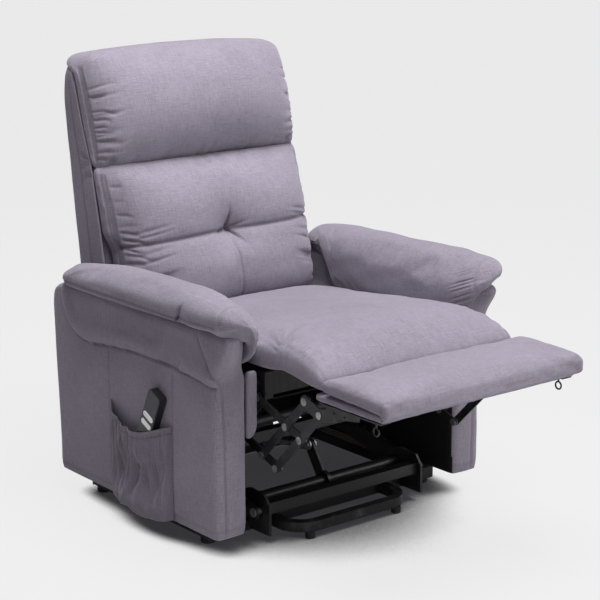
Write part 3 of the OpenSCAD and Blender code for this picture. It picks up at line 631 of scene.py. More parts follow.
gap_line = curve1([0.0, 0.042, 0.214, 0.355, 0.427, 0.513, 0.609, 0.66, 0.70], [-0.006, -0.005, 0.0, 0.007, 0.013, 0.030, 0.045, 0.052, 0.056])
rear_line = curve1([0.0, 0.042, 0.30, 0.48, 0.60, 0.648, 0.70], [0.112, 0.114, 0.120, 0.116, 0.106, 0.097, 0.086])


def creases(z, seed, step, span, w=0.0022):
    """A row of narrow creases, unevenly spaced and unevenly deep."""
    rng = np.random.RandomState(seed)
    out = np.zeros(len(z))
    c = span[0]
    while c < span[1]:
        out = np.maximum(out, rng.uniform(0.35, 1.0) * bump(z - c, w * rng.uniform(0.8, 1.5)))
        c += step * rng.uniform(0.6, 1.4)
    return out


def edge_creases(z, inward, seed, step, span, reach=(0.016, 0.050), w=0.0022, slope=0.16):
    """Creases that start at a sewn edge and run inwards, each to its own length."""
    rng = np.random.RandomState(seed)
    out = np.zeros(len(z))
    c = span[0]
    while c < span[1]:
        ln = rng.uniform(*reach)
        tilt = slope * rng.uniform(0.2, 1.8)
        line = z - c - tilt * inward - 0.0012 * np.sin(inward * 150 + c * 300)
        out = np.maximum(out, rng.uniform(0.3, 1.0) * bump(line, w * rng.uniform(0.8, 1.7) * (1 + inward / ln * 0.8)) * smooth(inward, ln, 0.35 * ln) * smooth(inward, 0.0, 0.004))
        c += step * rng.uniform(0.45, 1.6)
    return out


def edge_gathers(z, seed, count=9, span=(0, 1)):
    """Uneven little ridges along an edge: sharp valleys, round tops."""
    rng = np.random.RandomState(seed)
    out = np.zeros(len(z))
    for _ in range(count):
        c = rng.uniform(*span)
        w = rng.uniform(0.0035, 0.0075)
        out += rng.uniform(0.5, 1.0) * bump(z - c, w)
    return np.clip(out, 0, 1.4)


# ---------------------------------------------------------------- headrest cushion


def square_back(q, u, size, r, lo=0.5, hi=0.8):
    """Keeps the rounded front of a soft box and runs its outline straight back behind that."""
    half = np.array([size[0] / 2, size[2] / 2])
    rr = np.array([r[0], r[2]])
    p = u[:, [0, 2]] * half
    inner = np.clip(p, -(half - rr), half - rr)
    d = (p - inner) / rr
    ln = np.maximum(np.linalg.norm(d, axis=1, keepdims=True), 1e-9)
    flat = (inner + np.where(ln > 1e-8, d / ln * np.abs(d).max(1, keepdims=True) * rr, 0)) / half
    # points on the outline itself keep their reach, the ones inside it spread evenly
    k = smooth((u[:, 1] + 1) / 2, lo, hi)
    out = q.copy()
    out[:, 0] = q[:, 0] * (1 - k) + flat[:, 0] * k
    out[:, 2] = q[:, 2] * (1 - k) + flat[:, 1] * k
    out[:, 1] = q[:, 1] * (1 - k) + u[:, 1] * k
    return out


def make_head():
    W, H = 0.288, 0.272
    size, rad = (2 * W, 0.11, H), (0.030, 0.050, 0.032)
    q, u, quads = soft_box(size, rad, 0.0085)
    q = square_back(q, u, size, (0.022, 0, 0.026))
    x, d, t = q[:, 0] * W, (q[:, 1] + 1) / 2, (q[:, 2] + 1) / 2

    def shape(x, d, t):
        ax = np.abs(x) / W
        top = 0.695 - 0.013 * ax**2 - 0.016 * np.clip((ax - 0.84) / 0.16, 0, 1) ** 2
        low = 0.4225 + 0.003 * np.sin(x * 9 + 0.6)
        z = low + (top - low) * t
        front = curve1([0, 0.10, 0.25, 0.45, 0.65, 0.82, 0.93, 1.0], [-0.022, -0.042, -0.056, -0.060, -0.052, -0.034, -0.016, 0.006])(t)
        front = front - 0.012 * (1 - ax**2.4) * np.sin(np.clip(t * 0.85 + 0.08, 0, 1) * math.pi)
        rear = gap_line(z) - 0.002 + 0.042 * smooth(t, 0.88, 1.0)
        # full in the middle, thinning to the sewn side edges
        f = 0.50 + 0.50 * np.clip(1 - ax**3.4, 0, 1) ** 0.62
        f = f + (1 - f) * smooth(t, 0.90, 1.0)
        front = gap_line(z) + (front - gap_line(z)) * f
        y = front + (rear - front) * d
        xx = x * (0.972 + 0.028 * smooth(d, 0.0, 0.75))
        return back_to_row(xx, y, z)

    o = obj_from("headrest_pillow", shape(x, d, t), quads)
    put_attr(o, "px", x), put_attr(o, "pd", d), put_attr(o, "pt", t)
    edge = np.abs(np.abs(u[:, 0]) - 1) < 1e-6
    pins = np.where(d > 0.80, 1.0, 0.0)
    pins = np.maximum(pins, np.where(edge & (d < 0.3), 0.75, 0))
    pins = np.maximum(pins, np.where((t < 0.06) | (t > 0.96), 0.75, 0))
    cloth(o, pins, 4.0, 0.005, 16, -0.012)
    relax(o, smooth(d, 0.75, 0.5), 8)
    subdivide(o, 2)
    x, d, t = get_attr(o, "px"), get_attr(o, "pd"), get_attr(o, "pt")
    n = normals(o)
    co = co_of(o)
    ax = np.abs(x)
    z = t * H
    # gathers running in from the sewn side edges, most of them low and along the middle
    slant = z + 0.16 * (ax - W) + 0.004 * np.sin(60 * ax)
    side = smooth(d, 0.6, 0.4)
    g = edge_creases(z, W - ax, 11, 0.019, (0.024, 0.225), (0.018, 0.052), 0.0024, -0.25) * (0.55 + 0.45 * smooth(t, 0.85, 0.6))
    dis = -0.0046 * side * g
    swell = edge_gathers(slant, 12, 9, (0.03, 0.21))
    dis -= 0.0024 * bump(ax - (W - 0.030), 0.022) * smooth(d, 0.5, 0.3) * swell
    band = bump(ax - (W - 0.001), 0.0030) * smooth(d, 0.62, 0.5) * smooth(d, 0.25, 0.35)
    dis += -0.0018 * band
    dis += 0.0010 * wave_noise(co, 4.5, 3) * smooth(d, 0.6, 0.4)
    # the little ear where the side seam meets the bottom one
    ear = bump(t - 0.055, 0.035) * bump(ax - (W - 0.028), 0.010)
    dis -= 0.0060 * ear
    # puckers of the lower edge
    for xc, wd in ((-0.02, 0.010), (0.015, 0.008), (-0.12, 0.014), (0.13, 0.012), (0.21, 0.010), (-0.2, 0.010)):
        dis -= 0.0020 * bump(x - xc - 0.2 * (z - 0.02), wd) * bump(t - 0.05, 0.06) * (d < 0.5)
    set_co(o, co + n * dis[:, None])
    # painted shade along the sewn side edges, in the side creases, along the lower edge and in the ear
    put_painted_shade(o, 0.7 * band * smooth(t, 0.98, 0.8) + 0.6 * side * g + 0.8 * bump(t, 0.03) * smooth(d, 0.02, 0.2) + 0.6 * ear)
    return o


# ---------------------------------------------------------------- lumbar cushion with the pulled tuft

TUFT = (-0.004, 0.258)  # x, height up the back


def make_lumbar():
    W, Z0, Z1 = 0.265, 0.080, 0.4275
    size, rad = (2 * W, 0.13, Z1 - Z0), (0.030, 0.050, 0.034)
    q, u, quads = soft_box(size, rad, 0.0085)
    q = square_back(q, u, size, (0.014, 0, 0.018), 0.45, 0.75)
    x, d, t = q[:, 0] * W, (q[:, 1] + 1) / 2, (q[:, 2] + 1) / 2

    def seam_z(x):
        return TUFT[1] - 0.004 - 0.012 * (np.abs(x - TUFT[0]) / W) ** 1.5 * (x < TUFT[0]) + 0.004 * (np.abs(x) / W) ** 2 * (x > 0)

    def shape(x, d, t):
        ax = np.abs(x) / W
        z = Z0 + (Z1 - Z0) * t
        front = curve1([0.08, 0.12, 0.17, 0.24, 0.31, 0.36, 0.40, 0.4275], [-0.100, -0.111, -0.114, -0.106, -0.093, -0.074, -0.053, -0.034])(z)
        front = front - 0.015 * (1 - ax**2.4)
        # fullness of the panels either side of the sewn line, and the pull at the tuft
        zs = seam_z(x)
        full = np.where(z > zs, 0.008, 0.010)
        front = front - full * np.clip(np.abs(z - zs) / 0.065, 0, 1) ** 0.65 * smooth(ax, 1.0, 0.66) * smooth(z, 0.43, 0.37)
        r = np.hypot((x - TUFT[0]) * 0.85, z - TUFT[1])
        front = front + 0.017 * bump(r, 0.065) + 0.014 * bump(r, 0.020)
        front = front + 0.008 * bump(x - TUFT[0] + 0.02 * (TUFT[1] - z), 0.040) * smooth(z, TUFT[1], TUFT[1] - 0.03)
        rear = gap_line(z) - 0.002
        f = 0.56 + 0.44 * np.clip(1 - ax**3.6, 0, 1) ** 0.62
        front = gap_line(z) + (front - gap_line(z)) * f
        y = front + (rear - front) * d
        xx = x * (0.992 + (0.014 + 0.068 * smooth(z, 0.225, 0.285)) * smooth(d, 0.0, 0.75) + 0.010 * smooth(z, 0.25, 0.43))
        return back_to_row(xx, y, z)

    o = obj_from("lumbar_pillow", shape(x, d, t), quads)
    put_attr(o, "px", x), put_attr(o, "pd", d), put_attr(o, "pt", t)
    z = Z0 + (Z1 - Z0) * t
    zs = seam_z(x)
    pins = np.where(d > 0.80, 1.0, 0.0)
    pins = np.maximum(pins, np.where((np.abs(np.abs(u[:, 0]) - 1) < 1e-6) & (d < 0.3), 0.75, 0))
    pins = np.maximum(pins, np.where((np.abs(z - zs) < 0.005) & (d < 0.3), 0.75, 0))
    pins = np.maximum(pins, np.where((np.hypot(x - TUFT[0], z - TUFT[1]) < 0.014) & (d < 0.3), 1.0, 0))
    pins = np.maximum(pins, np.where(t > 0.97, 0.75, 0))
    cloth(o, pins, 4.0, 0.006, 16, -0.014)
    relax(o, smooth(d, 0.75, 0.5) * (1 - pins) , 4)
    subdivide(o, 2)
    x, d, t = get_attr(o, "px"), get_attr(o, "pd"), get_attr(o, "pt")
    z = Z0 + (Z1 - Z0) * t
    zs = seam_z(x)
    n, co, ax = normals(o), co_of(o), np.abs(x)
    face = (d < 0.45) * 1.0
    seam_h = bump(z - zs, 0.0040) * face
    soft_h = bump(z - zs, 0.013) * face
    xv = TUFT[0] + 0.012 * (TUFT[1] - z) / 0.17
    seam_v = bump(x - xv, 0.0036) * smooth(z, TUFT[1] - 0.015, TUFT[1] - 0.05) * face
    dis = -0.0048 * seam_h - 0.0018 * soft_h - 0.0020 * seam_v
    # the darts that run out from the tuft
    star = np.zeros(len(x))
    for ang, ln, dd in ((80, 0.062, 1.0), (-50, 0.060, 0.9), (194, 0.060, 0.55), (10, 0.062, 0.55), (118, 0.022, 0.5), (-98, 0.03, 0.4)):
        a = math.radians(ang)
        px, pz = x - TUFT[0], z - TUFT[1]
        along = px * math.cos(a) + pz * math.sin(a)
        across = -px * math.sin(a) + pz * math.cos(a) - 0.9 * along**2 * (1 if ang > 0 else -1)
        star = np.maximum(star, dd * bump(across, 0.0024 + 0.05 * np.clip(along, 0, 1)) * smooth(along, ln, 0.0) * (along > -0.004))
    dis -= 0.0120 * star * face
    side = smooth(d, 0.6, 0.4)
    g = edge_creases(z, W - ax, 23, 0.021, (0.10, 0.29), (0.025, 0.075), 0.0026, -0.30) + 0.5 * edge_creases(z, W - ax, 29, 0.026, (0.29, 0.40), (0.014, 0.036), 0.0022, -0.2)
    dis -= 0.0050 * side * g
    long_folds = bump(ax - (W - 0.050), 0.036) * face * edge_gathers(z + 0.20 * (ax - W) + 0.03 * (ax - W) * np.sin(40 * z), 31, 8, (0.11, 0.27))
    dis -= 0.0044 * long_folds
    band = bump(ax - (W - 0.001), 0.0030) * smooth(d, 0.62, 0.5) * smooth(d, 0.25, 0.35)
    dis -= 0.0018 * band
    dis += 0.0014 * wave_noise(co, 5.0, 5) * face
    # crush under the headrest
    for xc, zc, wd, dd in ((-0.040, 0.412, 0.016, 1.0), (-0.012, 0.416, 0.010, 0.8), (0.02, 0.415, 0.012, 0.8), (0.17, 0.412, 0.03, 0.6), (-0.17, 0.408, 0.022, 0.6), (0.09, 0.416, 0.012, 0.5)):
        dis -= 0.0055 * dd * bump(x - xc - 0.3 * (z - zc), wd) * bump(z - zc, 0.014) * face
    set_co(o, co + n * dis[:, None])
    # painted shade in the seams, the darts round the tuft, the side creases and folds, along the side edges and along
    # the top where the headrest presses
    put_painted_shade(o, 0.75 * seam_h + 0.3 * seam_v + 1.0 * star * face + 0.55 * side * g + 0.35 * long_folds + 0.7 * band + 0.8 * smooth(t, 0.975, 1.0) * face)
    return o


# ---------------------------------------------------------------- seat and chaise, one piece of upholstery


def make_seat():
    W, Y0, Y1 = 0.2630, 0.156, -0.5205
    L = Y0 - Y1
    q, u, quads = soft_box((2 * W, L, 0.06), (0.020, 0.018, 0.024), (0.0095, 0.0085, 0.0085))
    x, s, t = q[:, 0] * W, (q[:, 1] + 1) / 2, (q[:, 2] + 1) / 2
    top_edge = curve1([-0.5205, -0.505, -0.493, -0.44, -0.384, -0.361, -0.30, -0.146, 0.0, 0.137, 0.156], [0.430, 0.441, 0.449, 0.464, 0.470, 0.469, 0.464, 0.448, 0.434, 0.422, 0.420])
    under = curve1([-0.5205, -0.48, -0.42, -0.37, -0.335, -0.30, 0.156], [0.4015, 0.4025, 0.409, 0.412, 0.406, 0.4035, 0.4035])

    def shape(x, s, t):
        y = Y1 + L * s
        ax = np.abs(x) / W
        crown = 0.019 * (1 - ax**2.6) * smooth(y, -0.520, -0.47) * smooth(y, 0.156, 0.05)
        top = top_edge(y) + crown
        sit = 0.004 * bump(np.hypot(x / 0.17, (y + 0.05) / 0.17), 1.0)
        top = top - sit
        low = under(y) - 0.004 * (ax > 0.9) * 0
        z = low + (top - low) * t
        xx = x * (1 + 0.022 * smooth(y, -0.36, -0.46))
        return np.stack([xx, y, z], 1)

    o = obj_from("seat_and_chaise", shape(x, s, t), quads)
    put_attr(o, "px", x), put_attr(o, "ps", s), put_attr(o, "pt", t)
    y = Y1 + L * s
    pins = np.where(t < 0.15, 1.0, 0.0)
    pins = np.maximum(pins, np.where((np.abs(np.abs(u[:, 0]) - 1) < 1e-6), 0.5, 0))
    pins = np.maximum(pins, np.where((y < -0.515) | (y > 0.15), 0.75, 0))
    cloth(o, pins, 4.0, 0.010, 16, -0.012)
    subdivide(o)
    x, s, t = get_attr(o, "px"), get_attr(o, "ps"), get_attr(o, "pt")
    y = Y1 + L * s
    n, co, ax = normals(o), co_of(o), np.abs(x)
    face = smooth(t, 0.4, 0.8)
    dis = 0.0018 * wave_noise(co * [1, 1, 0], 5.0, 9) * face
    # folds fanning out from under the front of each arm pad
    fan = np.zeros(len(x))
    for sgn in (-1, 1):
        px, py = W * sgn, -0.375
        r = np.hypot(x - px, y - py)
        ang = np.degrees(np.arctan2(y - py, (px - x) * sgn))
        for a, dd, ln in ((62, 1.0, 0.13), (44, 0.8, 0.10), (25, 0.9, 0.15), (5, 0.55, 0.09), (80, 0.6, 0.10), (-22, 0.5, 0.07)):
            wdt = 4.2 + 3.0 * (r / 0.1)
            fan += dd * bump(ang - a - 60 * r, wdt) * smooth(r, ln, 0.010) * smooth(r, 0.0, 0.02)
    dis -= 0.0062 * np.clip(fan, 0, 1.2) * face
    edge_line = bump(ax - (W - 0.012), 0.0045) * (t > 0.5)
    dis -= 0.0012 * edge_line
    lateral = bump(ax - (W - 0.02), 0.02) * edge_gathers(y + 0.2 * (ax - W), 41, 10, (-0.50, -0.34)) * (t > 0.35)
    dis -= 0.0016 * lateral
    set_co(o, co + n * dis[:, None])
    # painted shade along the side edges, in the folds fanning from the arms and along the front edge
    put_painted_shade(o, 0.35 * edge_line * smooth(y, -0.30, -0.36) + 0.4 * np.clip(fan, 0, 1) * face + 0.9 * bump(y - Y1, 0.004))
    return o


# ---------------------------------------------------------------- leg rest cushion


def make_leg_pad():
    W, Y0, Y1 = 0.2780, -0.5235, -0.7165
    L = Y0 - Y1
    q, u, quads = soft_box((2 * W, L, 0.045), (0.011, 0.011, 0.015), (0.009, 0.008, 0.0075))
    x, s, t = q[:, 0] * W, (q[:, 1] + 1) / 2, (q[:, 2] + 1) / 2
    top_edge = curve1([-0.7165, -0.709, -0.69, -0.62, -0.56, -0.535, -0.5235], [0.421, 0.4275, 0.431, 0.434, 0.4345, 0.4335, 0.429])
    under = curve1([-0.7165, -0.7085, -0.702, -0.68, -0.60, -0.54, -0.5235], [0.391, 0.3895, 0.3995, 0.4005, 0.4015, 0.404, 0.4065])

    def shape(x, s, t):
        y = Y1 + L * s
        ax = np.abs(x) / W
        crown = 0.0085 * (1 - ax**3) * smooth(y, -0.7165, -0.66) * smooth(y, -0.5235, -0.56)
        top = top_edge(y) + crown
        low = under(y) + 0.003 * smooth(ax, 0.86, 1.0) * smooth(y, -0.69, -0.62)
        z = low + (top - low) * t
        yy = y - 0.004 * (1 - ax**2) * smooth(y, -0.68, -0.716)
        return np.stack([x, yy, z], 1)

    o = obj_from("leg_rest_pad", shape(x, s, t), quads)
    put_attr(o, "px", x), put_attr(o, "ps", s), put_attr(o, "pt", t)
    y = Y1 + L * s
    pins = np.where(t < 0.12, 1.0, 0.0)
    pins = np.maximum(pins, np.where((np.abs(np.abs(u[:, 0]) - 1) < 1e-6), 0.5, 0))
    pins = np.maximum(pins, np.where(y > -0.527, 0.75, 0))
    cloth(o, pins, 3.5, 0.007, 14, -0.010)
    subdivide(o)
    x, s, t = get_attr(o, "px"), get_attr(o, "ps"), get_attr(o, "pt")
    y = Y1 + L * s
    n, co, ax = normals(o), co_of(o), np.abs(x)
    dis = 0.0013 * wave_noise(co * [1, 1, 0.2], 6.0, 13) * smooth(t, 0.3, 0.7)
    welt = bump(t - 0.86, 0.07) * (y < -0.712)
    corner = bump(ax - (W - 0.004), 0.004) * (t > 0.3)
    dart = bump(y - (-0.704 + 0.25 * (ax - W)), 0.0022) * bump(ax - W + 0.014, 0.016) * (t > 0.2)
    dis -= 0.0007 * corner + 0.0022 * dart
    set_co(o, co + n * dis[:, None])
    # painted shade in the welt, at the corners, in the darts and along the rear edge
    put_painted_shade(o, 0.25 * welt + 0.4 * corner + 0.7 * dart + 0.9 * bump(y - Y0, 0.004))
    return o


def mirrored(o, name):
    """The same piece on the other side, with its faces turned back outwards."""
    me = o.data.copy()
    n = bpy.data.objects.new(name, me)
    scene.collection.objects.link(n)
    me.name = name
    co = co_of(n)
    co[:, 0] *= -1
    set_co(n, co)
    me.flip_normals()
    return n


# ---------------------------------------------------------------- arm pillows (built on the +X side, mirrored)


def arm_top(y):
    """Height of the arm cover's upper surface."""
    return curve1([-0.345, -0.328, -0.322, -0.314, -0.296, -0.2, 0.25, 0.292, 0.318], [0.44, 0.470, 0.488, 0.497, 0.5005, 0.5015, 0.5, 0.49, 0.47])(y)


def make_arm_pad():
    keys = [0.252, 0.20, 0.135, 0.09, 0.0, -0.15, -0.25, -0.285, -0.312, -0.335, -0.352, -0.374]

    def k(*v):
        return curve1(keys, v)

    outer = k(0.398, 0.4035, 0.4045, 0.4045, 0.4045, 0.4045, 0.4045, 0.4045, 0.4045, 0.4040, 0.4025, 0.398)
    inner = k(0.303, 0.297, 0.285, 0.2735, 0.2705, 0.2705, 0.2710, 0.2730, 0.2765, 0.2835, 0.2930, 0.310)
    top = k(0.540, 0.549, 0.5545, 0.5585, 0.561, 0.5625, 0.5640, 0.5642, 0.5642, 0.5632, 0.5612, 0.556)
    o_low = k(0.502, 0.5015, 0.5012, 0.501, 0.501, 0.5035, 0.5065, 0.5080, 0.509, 0.5095, 0.5110, 0.516)
    i_low = k(0.501, 0.496, 0.450, 0.408, 0.4045, 0.4045, 0.4060, 0.4130, 0.425, 0.4410, 0.4570, 0.486)
    ys = []
    n_ring, n_y = 72, 84
    for a in np.linspace(0, 1, n_y):
        ys.append(0.256 + (-0.3745 - 0.256) * a)
    secs, par = [], []
    for y in ys:
        o_, i_, t_, ol, il = outer(y), inner(y), top(y), o_low(y), i_low(y)
        arm = arm_top(y) + 0.0035
        free = smooth(np.array([y]), -0.330, -0.345)[0]  # 1 in front of the arm: the underside drops
        sh = 0.3035
        und = arm * (1 - free) + (ol * 0.5 + il * 0.5) * free
        ol2 = ol
        fall = smooth(np.array([y]), -0.16, -0.31)[0]  # the inner shoulder slopes away towards the front
        pts = [
            (o_ - 0.008, ol2 + 0.001),
            (o_, ol2 + (t_ - ol2) * 0.38),
            (o_ - 0.006, ol2 + (t_ - ol2) * 0.70),
            (o_ - 0.026, t_ - 0.005),
            (o_ * 0.55 + i_ * 0.45, t_),
            (i_ + 0.034, t_ - 0.004 - 0.011 * fall),
            (i_ + 0.010 + 0.006 * fall, t_ - 0.018 - 0.020 * fall),
            (i_ + 0.001, t_ - 0.042 - 0.016 * fall),
            (i_, il + (t_ - il) * 0.45),
            (i_ + 0.001, il + (t_ - il) * 0.20),
            (i_ + 0.007, il + 0.003),
            (min(sh - 0.003, i_ + 0.022), il + 0.001 + 0.002 * free),
            (sh - 0.0015 * (1 - free) + 0.004 * free, il + 0.004 + (und - il) * 0.15),
            (sh - 0.001 + 0.012 * free, il + (und - il) * 0.75 - 0.002),
            (sh + 0.012, und),
            (0.5 * (sh + o_), und * (1 - 0.4 * free) + ol2 * 0.4 * free),
            (o_ - 0.030, und * (1 - free) + ol2 * free),
        ]
        ring = smooth_line(np.array(pts + [pts[0]]), 0 or 17 * 8)[:-1]
        # even spacing round the loop
        seg = np.r_[0, np.cumsum(np.linalg.norm(np.diff(np.vstack([ring, ring[:1]]), axis=0), axis=1))]
        full = np.vstack([ring, ring[:1]])
        tt = np.linspace(0, seg[-1], n_ring, endpoint=False)
        ring = np.stack([np.interp(tt, seg, full[:, i]) for i in (0, 1)], 1)
        # rounded ends: shrink towards the middle over the last stretch
        e = 1.0
        if y > 0.228:
            a = (y - 0.228) / 0.030
            e = math.sqrt(max(0.02, 1 - min(1, a) ** 2))
        c = ring.mean(0)
        if y < -0.344:
            a = (-0.344 - y) / 0.031
            e = math.sqrt(max(0.16, 1 - min(1, a) ** 2.2))
            c = c + [0.0, min(1, a) * 0.6 * max(0.0, t_ - 0.026 - c[1])]
        ring = c + (ring - c) * [0.4 + 0.6 * e, e] if y > 0 else c + (ring - c) * e
        secs.append(np.stack([ring[:, 0], np.full(n_ring, y), ring[:, 1]], 1))
    co, quads = loft(np.array(secs), 5)
    o = obj_from("left_arm_pillow", co, quads)
    # keep what lies over the arm as modelled, puff the rest
    below = (co[:, 2] < arm_top(co[:, 1]) + 0.010) & (co[:, 0] > 0.300) & (co[:, 1] > -0.340)
    pins = np.where(below, 1.0, 0.0)
    pins = np.maximum(pins, np.where(co[:, 2] < 0.418, 0.75, 0))
    cap_seam = np.abs(co[:, 1] + 0.343) < 0.004
    pins = np.maximum(pins, np.where(cap_seam, 0.75, 0))
    cloth(o, pins, 4.0, 0.006, 14, -0.016)
    relax(o, smooth(co[:, 1], -0.235, -0.300) * np.where(below, 0.5 * smooth(co[:, 1], -0.300, -0.325), 1.0), 14)
    subdivide(o, 2)
    co, n = co_of(o), normals(o)
    x, y, z = co.T
    # sewn line round the front end, the pinch a third of the way back, gathers at the inner front corner
    cap = bump(y + 0.350 - 0.25 * (z - 0.53), 0.0028) * smooth(n[:, 1], -0.98, -0.90)
    dis = -0.0006 * cap
    gat = 0.0 * x
    inner_g = creases(z + 0.45 * (y + 0.3), 57, 0.012, (0.43, 0.56), 0.0024) * bump(y + 0.335, 0.024) * smooth(x, 0.325, 0.295) * smooth(z, 0.548, 0.530)
    dis -= 0.0026 * inner_g
    yp = -0.205 - 0.55 * (z - 0.515)
    pinch = bump(y - yp, 0.0048) * (x > 0.375) * smooth(z, 0.555, 0.520) * (z > 0.503)
    dis -= 0.0062 * pinch
    dis -= 0.0040 * bump(y - yp + 0.010, 0.016) * (x > 0.36) * smooth(z, 0.56, 0.52)
    dis += 0.0030 * bump(y + 0.27, 0.05) * (x > 0.37)
    low = bump(z - 0.5125 - 0.006 * smooth(y, -0.15, -0.28), 0.0035) * (x > 0.385) * (y > -0.335)
    dis -= 0.0014 * low
    dis += 0.0015 * wave_noise(co, 6.0, 17) * ((z > 0.52) | (x < 0.3))
    over_arm = (z < arm_top(y) + 0.007) & (x > 0.302) & (y > -0.340)
    dis = np.where(over_arm, 0.0, dis)
    set_co(o, co + n * dis[:, None])
    # painted shade along the front seam, in the inner gathers, along the lower edge and in the pinch
    put_painted_shade(o, 0.3 * cap + 0.5 * gat + 0.5 * inner_g + 0.7 * low + 0.8 * pinch)
    return o


# ---------------------------------------------------------------- arm covers

SIDE_SEAM = smooth_line([(0.272, 0.492), (0.258, 0.448), (0.232, 0.412), (0.196, 0.392), (0.150, 0.386), (0.078, 0.394), (-0.058, 0.402), (-0.223, 0.395), (-0.290, 0.386), (-0.315, 0.381)], 90)
FACE_SEAM = smooth_line([(0.378, -0.244, 0.506), (0.379, -0.256, 0.482), (0.379, -0.272, 0.452), (0.378, -0.291, 0.424), (0.371, -0.3085, 0.400), (0.3600, -0.3115, 0.376), (0.3560, -0.3090, 0.33), (0.3530, -0.3085, 0.20), (0.3510, -0.3085, 0.045)], 110)


def make_arm_cover():
    X0, X1 = 0.305, 0.378
    q, u, quads = soft_box((X1 - X0, 0.63, 0.448), (0.016, 0.016, 0.020), (0.0072, 0.0085, 0.0085))
    a, b, c = (q[:, 0] + 1) / 2, q[:, 1], (q[:, 2] + 1) / 2
    flat = (u[:, 2] < -0.999)
    keep = [f for f in quads if not all(flat[i] for i in f)]
    c0 = (u[:, 2] + 1) / 2
    c = np.where(c0 < 0.2, c0, c)  # the lower hem stays square: the cover is open underneath
    b = np.where(c0 < 0.12, np.clip(b, -1, 1), b)
    z = 0.052 + (0.5005 - 0.052) * c
    front = curve1([0.0, 0.33, 0.38, 0.41, 0.44, 0.465, 0.485, 0.495, 0.502], [-0.3085, -0.3080, -0.3095, -0.3125, -0.3175, -0.3215, -0.3215, -0.3175, -0.308])
    rear = curve1([0.0, 0.052, 0.44, 0.47, 0.49, 0.502], [0.308, 0.308, 0.322, 0.318, 0.300, 0.270])
    y = front(z) + (rear(z) - front(z)) * (b + 1) / 2
    xin = X0 - 0.0125 * smooth(z, 0.425, 0.385)
    x = xin + (X1 - xin) * a
    # under the pillow the outer front corner flares forward
    flare = curve1([0.0, 0.395, 0.417, 0.45, 0.489, 0.502], [0.0, 0.0, 0.003, 0.019, 0.036, 0.030])(z)
    y = y - flare * smooth(x, 0.306, 0.362) * smooth((b + 1) / 2, 0.17, 0.0)
    co = np.stack([x, y, z], 1)
    o = obj_from("left_arm_upholstery", co, keep)
    put_attr(o, "pa", a)
    subdivide(o)
    co, n = co_of(o), normals(o)
    x, y, z = co.T
    out = smooth(n[:, 0], 0.3, 0.8)
    inn = smooth(n[:, 0], -0.3, -0.8)
    p = np.stack([y, z], 1)
    d1, d2 = seg_dist(p, SIDE_SEAM), seg_dist(co, FACE_SEAM)
    wrap = np.maximum(out, smooth(-n[:, 1], 0.3, 0.8))
    above = np.interp(y, SIDE_SEAM[::-1, 0], SIDE_SEAM[::-1, 1])
    up = (z > above) & (y < 0.262)
    dis = np.zeros(len(x))
    # padded upper panel rolls over the lower one
    dis += out * np.where(up, 0.0075 * bump(d1 - 0.013, 0.018) + 0.0034, 0)
    dis -= out * 0.0060 * bump(d1 + np.where(up, 0.0015, 0.0), 0.0038) + wrap * 0.0030 * bump(d2, 0.0034)
    ahead = smooth(np.interp(z, FACE_SEAM[::-1, 2], FACE_SEAM[::-1, 1]) - y, 0.0, 0.010) * smooth(np.interp(z, FACE_SEAM[::-1, 2], FACE_SEAM[::-1, 0]) + 0.002 - x, -0.012, 0.0)
    dis += wrap * 0.0034 * np.clip(ahead, 0, 1) * bump(d2 - 0.016, 0.022)
    # soft fullness and slight slack of the panels
    dis += (out + inn) * 0.0016 * wave_noise(co * [0, 1, 1], 3.2, 61) * smooth(z, 0.05, 0.12)
    dis += out * 0.0018 * bump(z - 0.25, 0.16) * smooth(np.abs(y), 0.31, 0.2)
    frontal = smooth(n[:, 1], -0.5, -0.9)
    dis += frontal * 0.0015 * np.sin(np.clip((x - X0) / (X1 - X0), 0, 1) * math.pi)
    dis += frontal * 0.0010 * wave_noise(co * [1, 0, 1], 6.0, 67)
    pocket_side = out * (z < 0.385) * (bump(y - 0.082, 0.0028) + bump(y + 0.160, 0.0028))
    dis -= 0.0012 * pocket_side
    hem = bump(z - 0.070, 0.0028)
    dis -= 0.0008 * hem
    # the handset slides out past this side: the padding lies flat along its path
    path = out * smooth(np.abs(y + 0.123 + (z - 0.334) * math.tan(math.radians(25))), 0.050, 0.030) * smooth(z, 0.490, 0.462)
    dis = dis * (1 - path) + np.clip(dis, -0.004, 0.0014) * path
    set_co(o, co + n * dis[:, None])
    # painted shadow along the top of the outer side, under the pillow's overhang, and painted shade along the side
    # seam, the front face seam, the pocket's sides and the hem
    put_painted_shade(o, 0.8 * smooth(z, 0.490, 0.499) * smooth(y, -0.300, -0.26) + 1.0 * out * bump(d1, 0.0036) + 0.75 * wrap * bump(d2, 0.003) + 0.5 * pocket_side + 0.35 * hem)
    # black lining on the side that faces the mechanism, below the seat; the black there also stands in for the shade
    # that falls between the arm and the mechanism: painted shade
    me = o.data
    paint(o, "fabric", "lining")
    nl = np.zeros(len(me.polygons) * 3, np.float32)
    me.polygons.foreach_get("normal", nl)
    ct = np.zeros(len(me.polygons) * 3, np.float32)
    me.polygons.foreach_get("center", ct)
    nl, ct = nl.reshape(-1, 3), ct.reshape(-1, 3)
    me.polygons.foreach_set("material_index", ((nl[:, 0] < -0.75) & (ct[:, 2] < 0.402)).astype(np.int32))
    m = o.modifiers.new("solid", "SOLIDIFY")
    m.thickness, m.offset = 0.0034, -1.0
    apply_mods(o)
    return o


# ---------------------------------------------------------------- side pocket on the sitter's right arm


